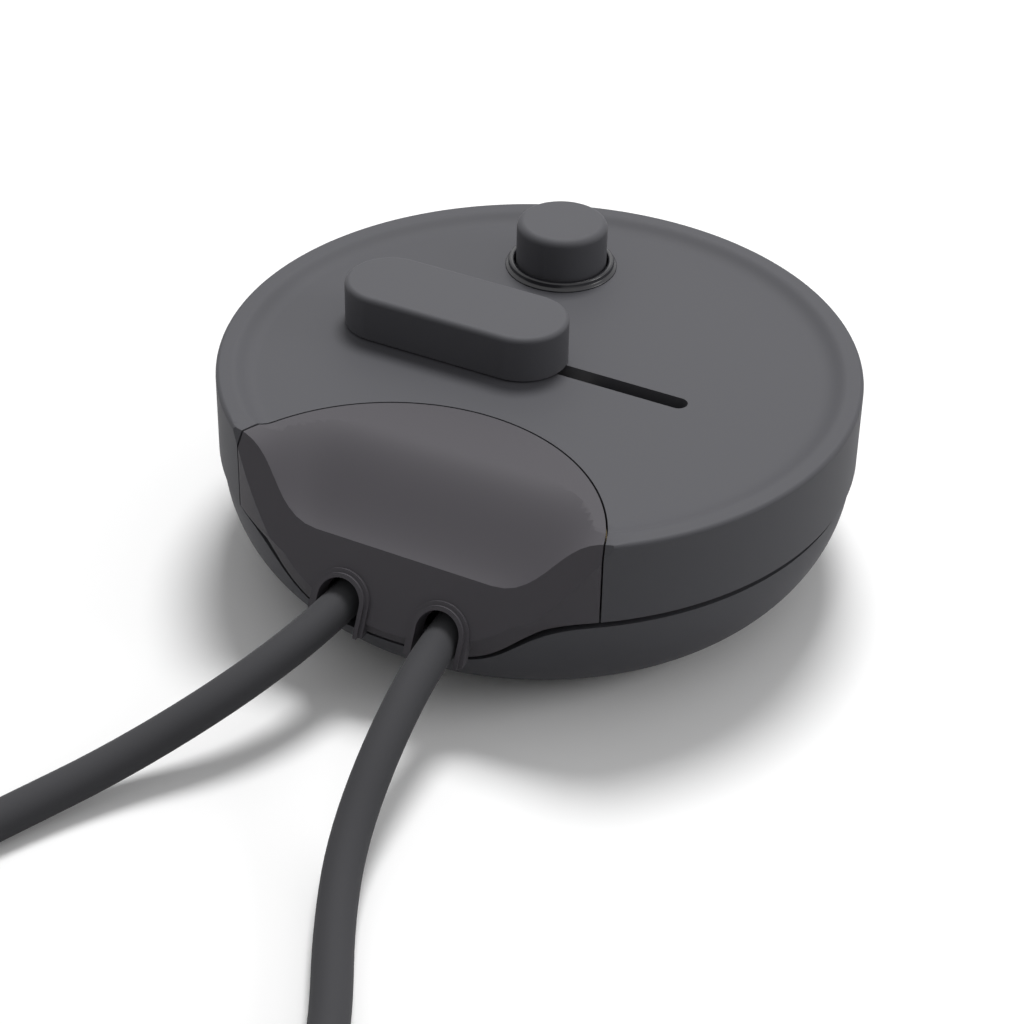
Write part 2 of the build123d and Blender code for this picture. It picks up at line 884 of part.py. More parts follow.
# Circuit board with clearance round the pillars
with BuildPart() as circuit_board:
    with BuildSketch(Plane.XY.offset(board_height)):
        Circle(board_radius)
        with Locations((0, board_front_y - board_radius)):
            Rectangle(2 * board_radius, 2 * board_radius, mode=Mode.SUBTRACT)
        with Locations(*pillar_places, *cover_pillar_places):
            Circle(pillar_radius + pillar_hole_clearance, mode=Mode.SUBTRACT)
        with Locations(*post_places):
            Circle(board_screw_radius + 0.1, mode=Mode.SUBTRACT)
    extrude(amount=board_thickness)
save(circuit_board.part, "circuit_board")

# Power device on its finned heat sink
sink_bottom = board_top
with BuildPart() as heat_sink:
    with BuildSketch(Plane.XY.offset(sink_bottom)):
        with Locations((sink_x, sink_y)):
            Rectangle(sink_thickness, sink_length)
        with Locations((sink_x + sink_thickness / 2 + fin_depth / 2, sink_y)):
            with GridLocations(0, (sink_length - fin_thickness) / (fin_count - 1), 1, fin_count):
                Rectangle(fin_depth, fin_thickness)
    extrude(amount=sink_height)
    tab_hole_z = sink_bottom + triac_lift + triac_body + (triac_tab - triac_body) / 2
    with Locations(Location((sink_x, sink_y, tab_hole_z), (0, 90, 0))):
        Cylinder(triac_hole - 0.4, 2 * sink_thickness, mode=Mode.SUBTRACT)
save(heat_sink.part, "heat_sink")

triac_back = sink_x - sink_thickness / 2
triac_bottom = board_top + triac_lift
with BuildPart() as triac:
    add(
        box_between(
            (triac_back - triac_thickness, sink_y - triac_width / 2, triac_bottom),
            (triac_back, sink_y + triac_width / 2, triac_bottom + triac_body),
        )
    )
    add(
        box_between(
            (triac_back - triac_tab_thickness, sink_y - triac_width / 2, triac_bottom),
            (triac_back, sink_y + triac_width / 2, triac_bottom + triac_tab),
        )
    )
    with Locations(Location((triac_back, sink_y, tab_hole_z), (0, 90, 0))):
        Cylinder(triac_hole, 4 * triac_tab_thickness, mode=Mode.SUBTRACT)
    for lead in (-1, 0, 1):
        y = sink_y + lead * 2.54
        middle_x = triac_back - triac_thickness / 2
        add(box_between((middle_x - 0.3, y - 0.4, board_top), (middle_x + 0.3, y + 0.4, triac_bottom)))
save(triac.part, "triac")

screw_face = triac_back - triac_tab_thickness
with BuildPart() as triac_screw:
    with BuildSketch(Plane.YZ.offset(screw_face)):
        with Locations((sink_y, tab_hole_z)):
            Circle(2.6)
    extrude(amount=-1.6)
    with BuildSketch(Plane.YZ.offset(screw_face)):
        with Locations((sink_y, tab_hole_z)):
            Circle(triac_hole - 0.45)
    extrude(amount=triac_tab_thickness + sink_thickness + 1.0)
save(triac_screw.part, "triac_screw")

def bevelled(width, height, bevel):
    """A rectangle with its corners cut off, drawn into the open sketch."""
    half_w = width / 2
    half_h = height / 2
    corners = [
        (half_w, half_h - bevel),
        (half_w - bevel, half_h),
        (bevel - half_w, half_h),
        (-half_w, half_h - bevel),
        (-half_w, bevel - half_h),
        (bevel - half_w, -half_h),
        (half_w - bevel, -half_h),
        (half_w, bevel - half_h),
    ]
    with BuildSketch(mode=Mode.PRIVATE) as shape:
        with BuildLine():
            Polyline(*corners, close=True)
        make_face()
    return shape.sketch


# Interference choke: ring core with its winding
choke_axis = Axis((choke_x, choke_y, 0), (0, 0, 1))
choke_plane = Plane(origin=(choke_x, choke_y, 0), x_dir=(1, 0, 0), z_dir=(0, -1, 0))
choke_bottom = board_top + 2 * choke_wire + 0.1
choke_middle = choke_bottom + choke_height / 2
with BuildPart() as choke_core:
    with BuildSketch(choke_plane):
        with Locations((choke_radius, choke_middle)):
            add(bevelled(2 * choke_half_width, choke_height, choke_bevel))
    revolve(axis=choke_axis)
save(choke_core.part, "choke_core")

wound_width = 2 * choke_half_width + 0.1
wound_height = choke_height + 0.1
with BuildPart() as choke_winding:
    for turn in range(choke_turns):
        angle = 360 / (choke_turns + 2) * turn
        radial = Plane(
            origin=(choke_x, choke_y, 0),
            x_dir=(cos(radians(angle)), sin(radians(angle)), 0),
            z_dir=(sin(radians(angle)), -cos(radians(angle)), 0),
        )
        with BuildSketch(radial.offset(-choke_wire)):
            with Locations((choke_radius, choke_middle)):
                add(bevelled(wound_width + 2 * choke_wire, wound_height + 2 * choke_wire, choke_bevel))
                add(bevelled(wound_width, wound_height, choke_bevel), mode=Mode.SUBTRACT)
        extrude(amount=2 * choke_wire)
save(choke_winding.part, "choke_winding")


# Boxed and round parts that stand on the board
def standing_box(x, y, size, rounding):
    """A boxed part on the board with rounded edges."""
    with BuildPart() as body:
        with Locations((x, y, board_top + size[2] / 2)):
            Box(*size)
        fillet(body.edges().filter_by(Axis.Z), radius=rounding)
        chamfer(body.faces().sort_by(Axis.Z)[-1].edges(), length=rounding / 2)
    return body.part


def lying_rod(x, y, length, radius, along):
    """A small round part lying on the board, waisted towards its middle."""
    direction = (1, 0, 0) if along == "x" else (0, 1, 0)
    start = Vector(x, y, board_top + radius) - Vector(*direction) * (length / 2)
    with BuildPart() as rod:
        with BuildSketch(Plane(origin=start, z_dir=direction)):
            Circle(radius)
        extrude(amount=length)
    return rod.part


save(standing_box(cap_x, cap_y, cap_size, 0.8), "suppression_capacitor")
save(standing_box(*timing_cap_place, timing_cap_size, 0.6), "timing_capacitor")

with BuildPart() as bulk_capacitor:
    with BuildSketch(Plane.XY.offset(board_top)):
        with Locations(bulk_cap_place[:2]):
            Circle(bulk_cap_radius)
    extrude(amount=bulk_cap_height)
    fillet(bulk_capacitor.faces().sort_by(Axis.Z)[-1].edges(), radius=0.5)
save(bulk_capacitor.part, "bulk_capacitor")

with BuildPart() as resistors:
    for x, y in resistor_places:
        add(lying_rod(x, y, resistor_length, resistor_radius, "y"))
save(resistors.part, "resistors")
save(lying_rod(*diac_place, diac_length, diac_radius, "x"), "diac")

# Fuse in its two clips
fuse_z = board_top + 1.0 + fuse_radius
with BuildPart() as fuse:
    with BuildSketch(Plane.YZ.offset(fuse_x - fuse_length / 2)):
        with Locations((fuse_y, fuse_z)):
            Circle(fuse_radius)
    extrude(amount=fuse_length)
save(fuse.part, "fuse")

with BuildPart() as fuse_clips:
    for side in (-1, 1):
        clip_x = fuse_x + side * (fuse_length - fuse_clip_width) / 2
        with BuildSketch(Plane.YZ.offset(clip_x - fuse_clip_width / 2)):
            with Locations((fuse_y, fuse_z)):
                Circle(fuse_radius + fuse_clip_wall + grip_fit)
            with Locations((fuse_y, (board_top + fuse_z) / 2)):
                Rectangle(2 * fuse_radius, fuse_z - board_top)
            with Locations((fuse_y, fuse_z)):
                Circle(fuse_radius + grip_fit, mode=Mode.SUBTRACT)
            with Locations((fuse_y, fuse_z + 2 * fuse_radius)):
                Rectangle(4 * fuse_radius, 2.6 * fuse_radius, mode=Mode.SUBTRACT)
        extrude(amount=fuse_clip_width)
save(fuse_clips.part, "fuse_clips")

# Terminal block with its clamps and screws
terminal_xs = [(index - (terminal_count - 1) / 2) * terminal_pitch for index in range(terminal_count)]
block_top = board_top + block_height
with BuildPart() as terminal_block:
    add(
        box_between(
            (-block_half_width, block_front_y, board_top),
            (block_half_width, block_back_y, block_top),
        )
    )
    for x in terminal_xs:
        with Locations((x, (block_front_y + block_back_y) / 2, terminal_height)):
            Box(clamp_size, block_back_y - block_front_y, clamp_size, mode=Mode.SUBTRACT)
        with Locations((x, (block_front_y + block_back_y) / 2, block_top)):
            Cylinder(clamp_size / 2, 2 * (block_top - terminal_height), mode=Mode.SUBTRACT)
save(terminal_block.part, "terminal_block")

clamp_front_y = block_front_y + (block_back_y - block_front_y - clamp_length) / 2
clamp_half = clamp_size / 2 - grip_fit
with BuildPart() as terminal_clamps:
    for x in terminal_xs:
        add(
            box_between(
                (x - clamp_half, clamp_front_y, terminal_height - clamp_half),
                (x + clamp_half, clamp_front_y + clamp_length, terminal_height + clamp_half),
            )
        )
        with BuildSketch(Plane.XZ.offset(-clamp_front_y)):
            with Locations((x, terminal_height)):
                Rectangle(2 * (core_radius + grip_fit), 2 * (core_radius + grip_fit))
        extrude(amount=-clamp_length, mode=Mode.SUBTRACT)
        with Locations((x, clamp_front_y + clamp_length / 2, terminal_height + clamp_half)):
            Cylinder(clamp_screw_radius + grip_fit, 2 * clamp_half, mode=Mode.SUBTRACT)
save(terminal_clamps.part, "terminal_clamps")

clamp_screw_top = block_top - 1.0
clamp_screw_tip = terminal_height + core_radius + grip_fit
with BuildPart() as terminal_screws:
    with BuildSketch(Plane.XY.offset(clamp_screw_tip)):
        with Locations(*[(x, clamp_front_y + clamp_length / 2) for x in terminal_xs]):
            Circle(clamp_screw_radius)
    extrude(amount=clamp_screw_top - clamp_screw_tip)
    with BuildSketch(Plane.XY.offset(clamp_screw_top)):
        with Locations(*[(x, clamp_front_y + clamp_length / 2) for x in terminal_xs]):
            Rectangle(2 * clamp_screw_radius, 0.5)
    extrude(amount=-0.7, mode=Mode.SUBTRACT)
save(terminal_screws.part, "terminal_screws")

# Cord grips: bars that press the leads into the clamp shelf
for name, x in (("mains_cord_grip", -lead_x), ("lamp_cord_grip", lead_x)):
    with BuildPart() as grip:
        with BuildSketch(Plane.XY.offset(grip_bottom)):
            with Locations((x, shelf_middle_y)):
                RectangleRounded(grip_length, grip_depth, 1.0)
        extrude(amount=grip_top - grip_bottom)
        with BuildSketch(Plane.XZ.offset(-shelf_middle_y)):
            with Locations((x, lead_height)):
                Circle(lead_radius + grip_fit)
        extrude(amount=grip_depth, both=True, mode=Mode.SUBTRACT)
        with Locations(*[(x + side * grip_screw_offset, shelf_middle_y, grip_top) for side in (-1, 1)]):
            Cylinder(grip_screw_radius + 0.1, 4 * grip_depth, mode=Mode.SUBTRACT)
    save(grip.part, name)


# Leads: straight runs joined by tangent arcs, each arc as large as its two runs allow
def arc_radii(points):
    """Radius at each corner: 0.45 of the shorter run over the tangent of half the turn."""
    radii = []
    for before, corner, after in zip(points, points[1:], points[2:]):
        first = Vector(*corner) - Vector(*before)
        second = Vector(*after) - Vector(*corner)
        half_turn = radians(first.get_angle(second)) / 2
        radii.append(0.45 * min(first.length, second.length) / tan(half_turn))
    return radii


def lead_tube(points, radius):
    """A round lead along its route."""
    radii = arc_radii(points)
    with BuildLine() as route:
        if radii:
            FilletPolyline(*points, radius=radii)
        else:
            Line(*points)
    path = route.wire()
    with BuildPart() as tube:
        with BuildSketch(Plane(origin=path @ 0, z_dir=path % 0)):
            Circle(radius)
        sweep(path=path)
    section = pi * radius**2
    print("lead radii", [round(r, 1) for r in radii], "length", round(path.length, 1))
    print("volume over section times length", round(tube.part.volume / (section * path.length), 4))
    return tube.part


def coil_ring(radius, columns, height, base):
    """The outer form of a put-away coil."""
    axis = Axis((*coil_centre, 0), (0, 0, 1))
    with BuildPart() as ring:
        with BuildSketch(Plane(origin=(*coil_centre, 0), x_dir=(1, 0, 0), z_dir=(0, -1, 0))):
            with Locations((radius, base + height / 2)):
                add(bevelled(columns * lead_diameter, height, lead_radius * 0.6))
        revolve(axis=axis)
    return ring.part


def coil_entry(radius, columns, heading, turn):
    """Point on a coil's outer turn where it runs along the heading; turn is 1 clockwise, -1 the other way."""
    outer = radius + (columns - 1) / 2 * lead_diameter
    x, y = heading
    return (coil_centre[0] - turn * y * outer, coil_centre[1] + turn * x * outer)


def from_coil_centre(x, y, z):
    """A point given from the middle of the coils."""
    return (coil_centre[0] + x, coil_centre[1] + y, z)


mains_heading = (0.26, -0.966)
lamp_heading = (0.0, -1.0)
mains_end = coil_entry(mains_coil_radius, mains_coil_columns, mains_heading, -1)
lamp_end = coil_entry(lamp_coil_radius, lamp_coil_columns, lamp_heading, 1)
mains_route = [
    (-lead_x, sheath_end_y, lead_height),
    (-lead_x, -51.0, lead_height),
    (-14.2, -68.3, 11.2),
    (-25.0, -84.8, 4.8),
    (-33.6, -100.5, floor_lead_height),
    (-42.0, -120.5, floor_lead_height),
    (-43.3, -141.0, floor_lead_height),
    (-38.2, -160.8, floor_lead_height),
    (-30.5, -179.9, floor_lead_height),
    (*mains_end, floor_lead_height),
]
lamp_route = [
    (lead_x, sheath_end_y, lead_height),
    (lead_x, -51.0, lead_height),
    (10.2, -68.5, 11.4),
    (12.8, -84.0, 5.6),
    (18.5, -97.6, floor_lead_height),
    (27.0, -112.5, floor_lead_height),
    (35.0, -131.0, 4.5),
    (41.0, -150.5, 11.5),
    (43.9, -170.5, 18.9),
    (*lamp_end, lamp_coil_level),
]
mains_ring = coil_ring(mains_coil_radius, mains_coil_columns, mains_coil_height, coil_lift)
lamp_ring = coil_ring(lamp_coil_radius, lamp_coil_columns, lamp_coil_height, lamp_coil_base)
save(mains_ring, "mains_lead_coil")
save(lamp_ring, "lamp_lead_coil")

# The mains tail leaves its coil straight; the lamp tail curls in and lies across the coil's top
core_rest = lamp_coil_top + core_radius + 0.1
core_drop = 0.6
mains_tail = [
    (*mains_end, tail_height),
    (
        mains_end[0] + mains_heading[0] * tail_length,
        mains_end[1] + mains_heading[1] * tail_length,
        tail_height,
    ),
]
lamp_tail = [
    from_coil_centre(29.4, 6.4, lamp_coil_level),
    from_coil_centre(29.4, -6.4, lamp_coil_level + 0.8),
    from_coil_centre(23.0, -17.6, lamp_coil_level + 2.4),
    from_coil_centre(11.8, -24.0, lamp_coil_level + 3.9),
    from_coil_centre(-2.0, -24.0, core_rest + core_drop),
]
lamp_tail_heading = (-1.0, 0.0)

leads = (
    ("mains_lead", mains_route),
    ("lamp_lead", lamp_route),
    ("mains_lead_tail", mains_tail),
    ("lamp_lead_tail", lamp_tail),
)
for name, points in leads:
    save(lead_tube(points, lead_radius), name)


# Cores from the end of each sheath to the clamps of the terminal block
def core_bundle(x, terminals):
    """Three insulated cores that fan out from one sheath to their clamps."""
    with BuildPart() as bundle:
        for index, terminal in enumerate(terminals):
            start = (x + (index - 1) * core_step, sheath_end_y, lead_height)
            leaves = (start[0], sheath_end_y + core_straight, lead_height)
            arrives = (terminal, block_front_y - core_straight, terminal_height)
            end = (terminal, clamp_front_y + core_in_clamp, terminal_height)
            with BuildLine() as core_line:
                FilletPolyline(start, leaves, arrives, end, radius=core_bend)
            core_path = core_line.wire()
            with BuildSketch(Plane(origin=start, z_dir=(0, 1, 0))):
                Circle(core_radius)
            sweep(path=core_path)
    return bundle.part


half_count = terminal_count // 2
save(core_bundle(-lead_x, terminal_xs[:half_count]), "mains_cores")
save(core_bundle(lead_x, terminal_xs[half_count:]), "lamp_cores")

# Plug lying on its back beside the coil, with its pins up
plug_base = Plane(
    origin=(mains_tail[1][0], mains_tail[1][1], 0),
    x_dir=(*mains_heading, 0),
    z_dir=(0, 0, 1),
)
plug_end = relief_length + plug_length
plug_shoulder = relief_length + plug_length / 2
blade_x = relief_length + pin_setback
blade_places = [(blade_x, side * pin_spacing / 2) for side in (-1, 1)]
earth_place = (blade_x + pin_spacing, 0)
pin_foot = plug_thickness - pin_root


def pin_blocks(low, high, places, size, shrink):
    """Upright pins of one section between two heights above the plug's back."""
    with BuildPart() as blocks:
        with BuildSketch(plug_base.offset(low)):
            with Locations(*places):
                Rectangle(size[0] - 2 * shrink, size[1] - 2 * shrink)
        extrude(amount=high - low)
    return blocks.part


blade_tip = plug_thickness + blade[2]
earth_tip = plug_thickness + earth_pin[2]
sleeve_top = plug_thickness + sleeve_length
blade_socket = pin_blocks(pin_foot, blade_tip, blade_places, blade, 0)
earth_socket = pin_blocks(pin_foot, earth_tip, [earth_place], earth_pin, 0)
sleeve_core = pin_blocks(pin_foot, sleeve_top, blade_places, blade, pin_sleeve_wall)

with BuildPart() as plug_body:
    with BuildSketch(plug_base):
        with BuildLine():
            Polyline(
                (relief_length, plug_width / 2 - plug_corner),
                (relief_length + plug_corner, plug_width / 2),
                (plug_shoulder, plug_width / 2),
                (plug_end, plug_narrow / 2),
                (plug_end, -plug_narrow / 2),
                (plug_shoulder, -plug_width / 2),
                (relief_length + plug_corner, -plug_width / 2),
                (relief_length, -plug_width / 2 + plug_corner),
                close=True,
            )
        make_face()
    extrude(amount=plug_thickness)
    fillet(plug_body.edges().filter_by(Axis.Z), radius=plug_corner * 0.6)
    fillet(plug_body.faces().sort_by(Axis.Z)[0].edges(), radius=plug_rounding)
    add(blade_socket, mode=Mode.SUBTRACT)
    add(earth_socket, mode=Mode.SUBTRACT)
save(plug_body.part, "plug_body")

with BuildPart() as plug_pins:
    add(pin_blocks(pin_foot, blade_tip, blade_places, blade, pin_sleeve_wall))
    add(pin_blocks(sleeve_top, blade_tip, blade_places, blade, 0))
    add(pin_blocks(pin_foot, earth_tip, [earth_place], earth_pin, 0))
    tips = plug_pins.faces().filter_by(Axis.Z).sort_by(Axis.Z)[-3:]
    chamfer([edge for tip in tips for edge in tip.edges()], length=0.8)
save(plug_pins.part, "plug_pins")

with BuildPart() as pin_sleeves:
    add(pin_blocks(pin_foot, sleeve_top, blade_places, blade, 0))
    add(sleeve_core, mode=Mode.SUBTRACT)
save(pin_sleeves.part, "pin_sleeves")

# Strain relief: a tapered sleeve with grooves round it
relief_side = Plane(
    origin=(mains_tail[1][0], mains_tail[1][1], tail_height),
    x_dir=(*mains_heading, 0),
    z_dir=(-mains_heading[1], mains_heading[0], 0),
)
relief_axis = Axis((mains_tail[1][0], mains_tail[1][1], tail_height), (*mains_heading, 0))
relief_taper = (relief_radius - relief_tip) / relief_length
relief_outline = [(0, relief_tip)]
for groove in range(relief_grooves):
    low = relief_pitch * (groove + 1)
    high = low + relief_pitch / 2
    relief_outline.append((low, relief_tip + relief_taper * low))
    relief_outline.append((low, relief_tip + relief_taper * low - relief_groove_depth))
    relief_outline.append((high, relief_tip + relief_taper * high - relief_groove_depth))
    relief_outline.append((high, relief_tip + relief_taper * high))
relief_outline.append((relief_length, relief_radius))
with BuildPart() as plug_relief:
    with BuildSketch(relief_side):
        with BuildLine():
            Polyline((0, 0), *relief_outline, (relief_length, 0), close=True)
        make_face()
    revolve(axis=relief_axis)
save(plug_relief.part, "plug_relief")

# Bared cores with their ferrules at the lamp lead's end
end_plane = Plane(
    origin=(*lamp_tail[-1][:2], core_rest),
    x_dir=(*lamp_tail_heading, 0),
    z_dir=(0, 0, 1),
)


def splayed(offset):
    """Start, two turns and end of one core, offset to the side by a share of the splay."""
    local = [
        (0, offset * core_step, core_drop),
        (bared_length * 0.25, offset * core_step, core_drop),
        (bared_length * 0.6, offset * core_splay, 0),
        (bared_length, offset * core_splay, 0),
    ]
    return [end_plane.from_local_coords(point) for point in local]


with BuildPart() as lamp_core_ends:
    for offset in (-1, 0, 1):
        with BuildLine() as end_line:
            FilletPolyline(*splayed(offset), radius=core_end_bend)
        end_path = end_line.wire()
        with BuildSketch(Plane(origin=end_path @ 0, z_dir=(*lamp_tail_heading, 0))):
            Circle(core_radius)
        sweep(path=end_path)
save(lamp_core_ends.part, "lamp_core_ends")

with BuildPart() as core_ferrules:
    for offset in (-1, 0, 1):
        with BuildSketch(Plane(origin=splayed(offset)[-1], z_dir=(*lamp_tail_heading, 0))):
            Circle(ferrule_radius)
        extrude(amount=ferrule_length)
save(core_ferrules.part, "core_ferrules")
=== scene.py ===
"""Looks of a round foot dimmer: housings, controls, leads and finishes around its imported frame.

Lengths are metres in the frame's own axes: +Z up, -Y the front where the leads enter, +X along the slider.
"""

import json
from math import atan2, cos, pi, radians, sin, sqrt

import bmesh
import bpy
from bpy.props import FloatProperty, FloatVectorProperty, IntProperty, PointerProperty
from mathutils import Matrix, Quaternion, Vector


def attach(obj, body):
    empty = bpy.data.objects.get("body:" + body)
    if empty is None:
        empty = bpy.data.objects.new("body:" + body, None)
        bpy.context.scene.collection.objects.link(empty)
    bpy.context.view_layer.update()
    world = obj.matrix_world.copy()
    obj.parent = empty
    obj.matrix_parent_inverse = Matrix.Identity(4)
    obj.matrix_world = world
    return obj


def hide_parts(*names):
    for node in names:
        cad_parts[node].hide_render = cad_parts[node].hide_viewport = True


bl_info = {
    "name": "Foot dimmer",
    "version": (1, 0, 0),
    "blender": (4, 5, 0),
    "location": "View3D > Sidebar > Dimmer",
    "description": "Models and finishes a round foot dimmer with a slider, a press button and two leads",
    "category": "Object",
}

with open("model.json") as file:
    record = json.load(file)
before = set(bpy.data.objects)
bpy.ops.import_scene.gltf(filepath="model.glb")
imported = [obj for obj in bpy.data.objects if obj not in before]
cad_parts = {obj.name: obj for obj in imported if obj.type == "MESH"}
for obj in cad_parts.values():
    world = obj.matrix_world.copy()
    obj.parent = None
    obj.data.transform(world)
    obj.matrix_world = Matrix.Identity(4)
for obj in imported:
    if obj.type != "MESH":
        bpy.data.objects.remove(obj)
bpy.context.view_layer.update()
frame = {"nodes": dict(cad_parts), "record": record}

MM = 0.001
HOUSING = "housing"
SLIDER = "slider"
BUTTON = "button"
PICTURE = 1024  # pixels along each side of the picture
LAMPS = (  # name, place in metres, size in metres and power in watts
    ("top_light", (-0.12, 0.46, 1.12), 0.45, 11.0),
    ("side_light", (1.0, 0.35, 0.5), 0.5, 3.0),
    ("back_light", (-0.48, 0.99, 0.71), 0.5, 0.35),
)


def length(name, millimetres, description):
    """A length property whose default is given in millimetres."""
    return FloatProperty(
        name=name, description=description, default=millimetres * MM, subtype="DISTANCE", unit="LENGTH"
    )


def ratio(name, value, description):
    """A plain number property."""
    return FloatProperty(name=name, description=description, default=value)


def colour(name, value, description):
    """A colour property."""
    return FloatVectorProperty(
        name=name, description=description, default=value, size=3, subtype="COLOR", min=0, max=1
    )


class DrumSizes(bpy.types.PropertyGroup):
    """Sizes of the drum and of the bowl-shaped lower shell"""

    radius: length("Radius", 52.0, "Outer radius of the drum")
    rim_height: length("Rim height", 35.0, "Height of the raised rim above the floor")
    wall: length("Wall", 2.2, "Wall of the moulded shells")
    dish_depth: length("Dish depth", 1.2, "How far the top lies below its rim")
    rim_width: length("Rim width", 2.4, "Flat width of the rim")
    dish_slope: length("Dish slope", 4.6, "Width of the slope from the rim to the top")
    rim_rounding: length("Rim rounding", 0.75, "Radius of the rim's outer edge")
    wall_bottom: length("Wall bottom", 21.3, "Height of the drum wall's lower edge")
    gap: length("Gap", 1.4, "Shadow gap between the drum and the lower shell")
    lip_gap: length("Lip gap", 0.7, "Shadow gap under the terminal cover")
    shell_step: length("Shell step", 0.6, "How far the lower shell stands back")
    base_height: length("Base height", 1.0, "Height of the base above the floor")
    base_radius: length("Base radius", 38.0, "Radius of the flat base")
    dip_bottom: length("Dip bottom", 12.2, "Height of the parting line at the front")
    dip_inner: length("Dip inner", 9.0, "Half width of the dip's level part")
    dip_outer: length("Dip outer", 30.0, "Half width of the whole dip")
    dip_back: length("Dip back", -37.6, "Y where the dip of the parting line ends")
    edge: length("Edge", 0.22, "Rounding of moulded edges")
    steps: IntProperty(name="Steps", description="Segments round the drum", default=240, min=48)


class CoverSizes(bpy.types.PropertyGroup):
    """Sizes of the terminal cover with its swoop, inclined face and arches"""

    seam_radius: length("Seam radius", 32.1, "Radius of the curved seam")
    seam_centre: length("Seam centre", -49.7, "Y of the seam's centre")
    seam_gap: length("Seam gap", 0.3, "Width of the seam")
    face_y: length("Face top", -40.4, "Y where the face's plane meets the rim's height")
    face_slope: ratio("Face slope", 0.48, "Run of the face for each unit of height")
    swoop_start: length("Swoop start", -28.0, "Y where the top starts to fall")
    swoop_edge: length("Swoop edge", -45.3, "Y where the swoop meets the face")
    swoop_drop: length("Swoop drop", 9.1, "Fall of the swoop")
    swoop_flat: length("Swoop flat", 15.0, "Half width of the swoop's level part")
    swoop_reach: length("Swoop reach", 34.0, "Half width of the whole swoop")
    swoop_tilt: ratio("Swoop tilt", 0.36, "Fall beyond the edge for each unit of run")
    arch_height: length("Arch height", 16.2, "Height of the arches' centres")
    arch_radius: length("Arch radius", 3.6, "Radius of the lead openings")
    ring_inner: length("Ring inner", 4.3, "Outer radius of the upper step round each opening")
    ring_outer: length("Ring outer", 4.95, "Outer radius of the lower step round each opening")
    step_inner: length("Step inner", 0.9, "Height of the upper step")
    step_outer: length("Step outer", 0.45, "Height of the lower step")


class FixingSizes(bpy.types.PropertyGroup):
    """Sizes of the screw bosses, pillars and wells and of the foot recesses"""

    pillar_x: length("Pillar X", 33.0, "Distance of the housing screws from the middle along X")
    pillar_y: length("Pillar Y", 13.0, "Distance of the housing screws from the middle along Y")
    cover_pillar_x: length("Cover pillar X", 18.5, "Distance of the cover screws from the middle")
    cover_pillar_y: length("Cover pillar Y", -31.0, "Y of the cover screws")
    boss_radius: length("Boss radius", 3.6, "Radius of the bosses under the top")
    boss_bottom: length("Boss bottom", 11.1, "Height of the bosses' lower ends")
    pilot_radius: length("Pilot radius", 1.45, "Radius of the bosses' pilot holes")
    pilot_bottom: length("Pilot bottom", 11.0, "Height where the pilot holes start")
    pilot_top: length("Pilot top", 24.0, "Height where the pilot holes end")
    pillar_radius: length("Pillar radius", 4.2, "Radius of the pillars in the lower shell")
    pillar_bottom: length("Pillar bottom", 1.5, "Height of the pillars' feet")
    pillar_top: length("Pillar top", 11.0, "Height of the pillars' tops")
    well_radius: length("Well radius", 3.1, "Radius of the screw wells")
    well_top: length("Well top", 9.0, "Height of the wells' ends")
    hole_radius: length("Hole radius", 1.7, "Radius of the screw holes")
    hole_bottom: length("Hole bottom", 8.0, "Height where the screw holes start")
    hole_top: length("Hole top", 12.0, "Height where the screw holes end")
    foot_circle: length("Foot circle", 28.0, "Radius of the circle of the feet")
    foot_radius: length("Foot radius", 4.6, "Radius of the foot recesses")
    foot_top: length("Foot top", 2.2, "Height of the recesses' ends")


class ControlSizes(bpy.types.PropertyGroup):
    """Sizes of the slider, the press button and its collar"""

    slot_width: length("Slot width", 3.1, "Width of the slider's slot")
    slot_half: length("Slot half length", 25.9, "Half length of the slot")
    knob_length: length("Knob length", 39.4, "Length of the slider's knob")
    knob_width: length("Knob width", 15.15, "Width of the slider's knob")
    knob_height: length("Knob height", 8.06, "Height of the knob above the top")
    knob_lift: length("Knob lift", 0.25, "Running gap under the knob")
    knob_rounding: length("Knob rounding", 0.9, "Rounding of the knob's upper edge")
    knob_wall: length("Knob wall", 2.0, "Wall of the knob")
    rest_x: length("Rest place", -15.5, "X of the knob's middle at rest")
    stem_length: length("Stem length", 20.5, "Length of the knob's stem in the slot")
    stem_width: length("Stem width", 2.4, "Width of the knob's stem")
    stem_bottom: length("Stem bottom", 27.2, "Height of the stem's lower end")
    button_x: length("Button X", -11.2, "X of the button's axis")
    button_y: length("Button Y", 30.3, "Y of the button's axis")
    button_radius: length("Button radius", 7.77, "Radius of the button")
    button_top: length("Button top", 42.5, "Height of the button's top")
    button_rounding: length("Button rounding", 1.3, "Rounding of the button's upper edge")
    collar_bore: length("Collar bore", 8.07, "Inner radius of the collar")
    collar_base: length("Collar base", 9.6, "Outer radius of the collar's foot")
    collar_top: length("Collar top", 9.02, "Outer radius of the collar's top")
    collar_height: length("Collar height", 1.35, "Height of the collar above the top")
    collar_hole: length("Collar hole", 8.97, "Radius of the hole for the collar")


class LeadSizes(bpy.types.PropertyGroup):
    """Sizes of the two leads and their coils"""

    diameter: length("Diameter", 5.8, "Diameter of the round leads")
    lead_x: length("Lead X", 8.5, "Distance of each lead from the middle")
    lead_height: length("Lead height", 15.0, "Height where the leads leave")
    coil_x: length("Coil X", 8.7, "X of the middle of the put-away coils")
    coil_y: length("Coil Y", -190.0, "Y of the middle of the put-away coils")
    points_per_turn: IntProperty(
        name="Points per turn", description="Points in a coil's turn", default=16, min=12
    )
    mains_length: length("Mains lead", 1500.0, "Whole length of the mains lead")
    lamp_length: length("Lamp lead", 620.0, "Whole length of the lamp lead")


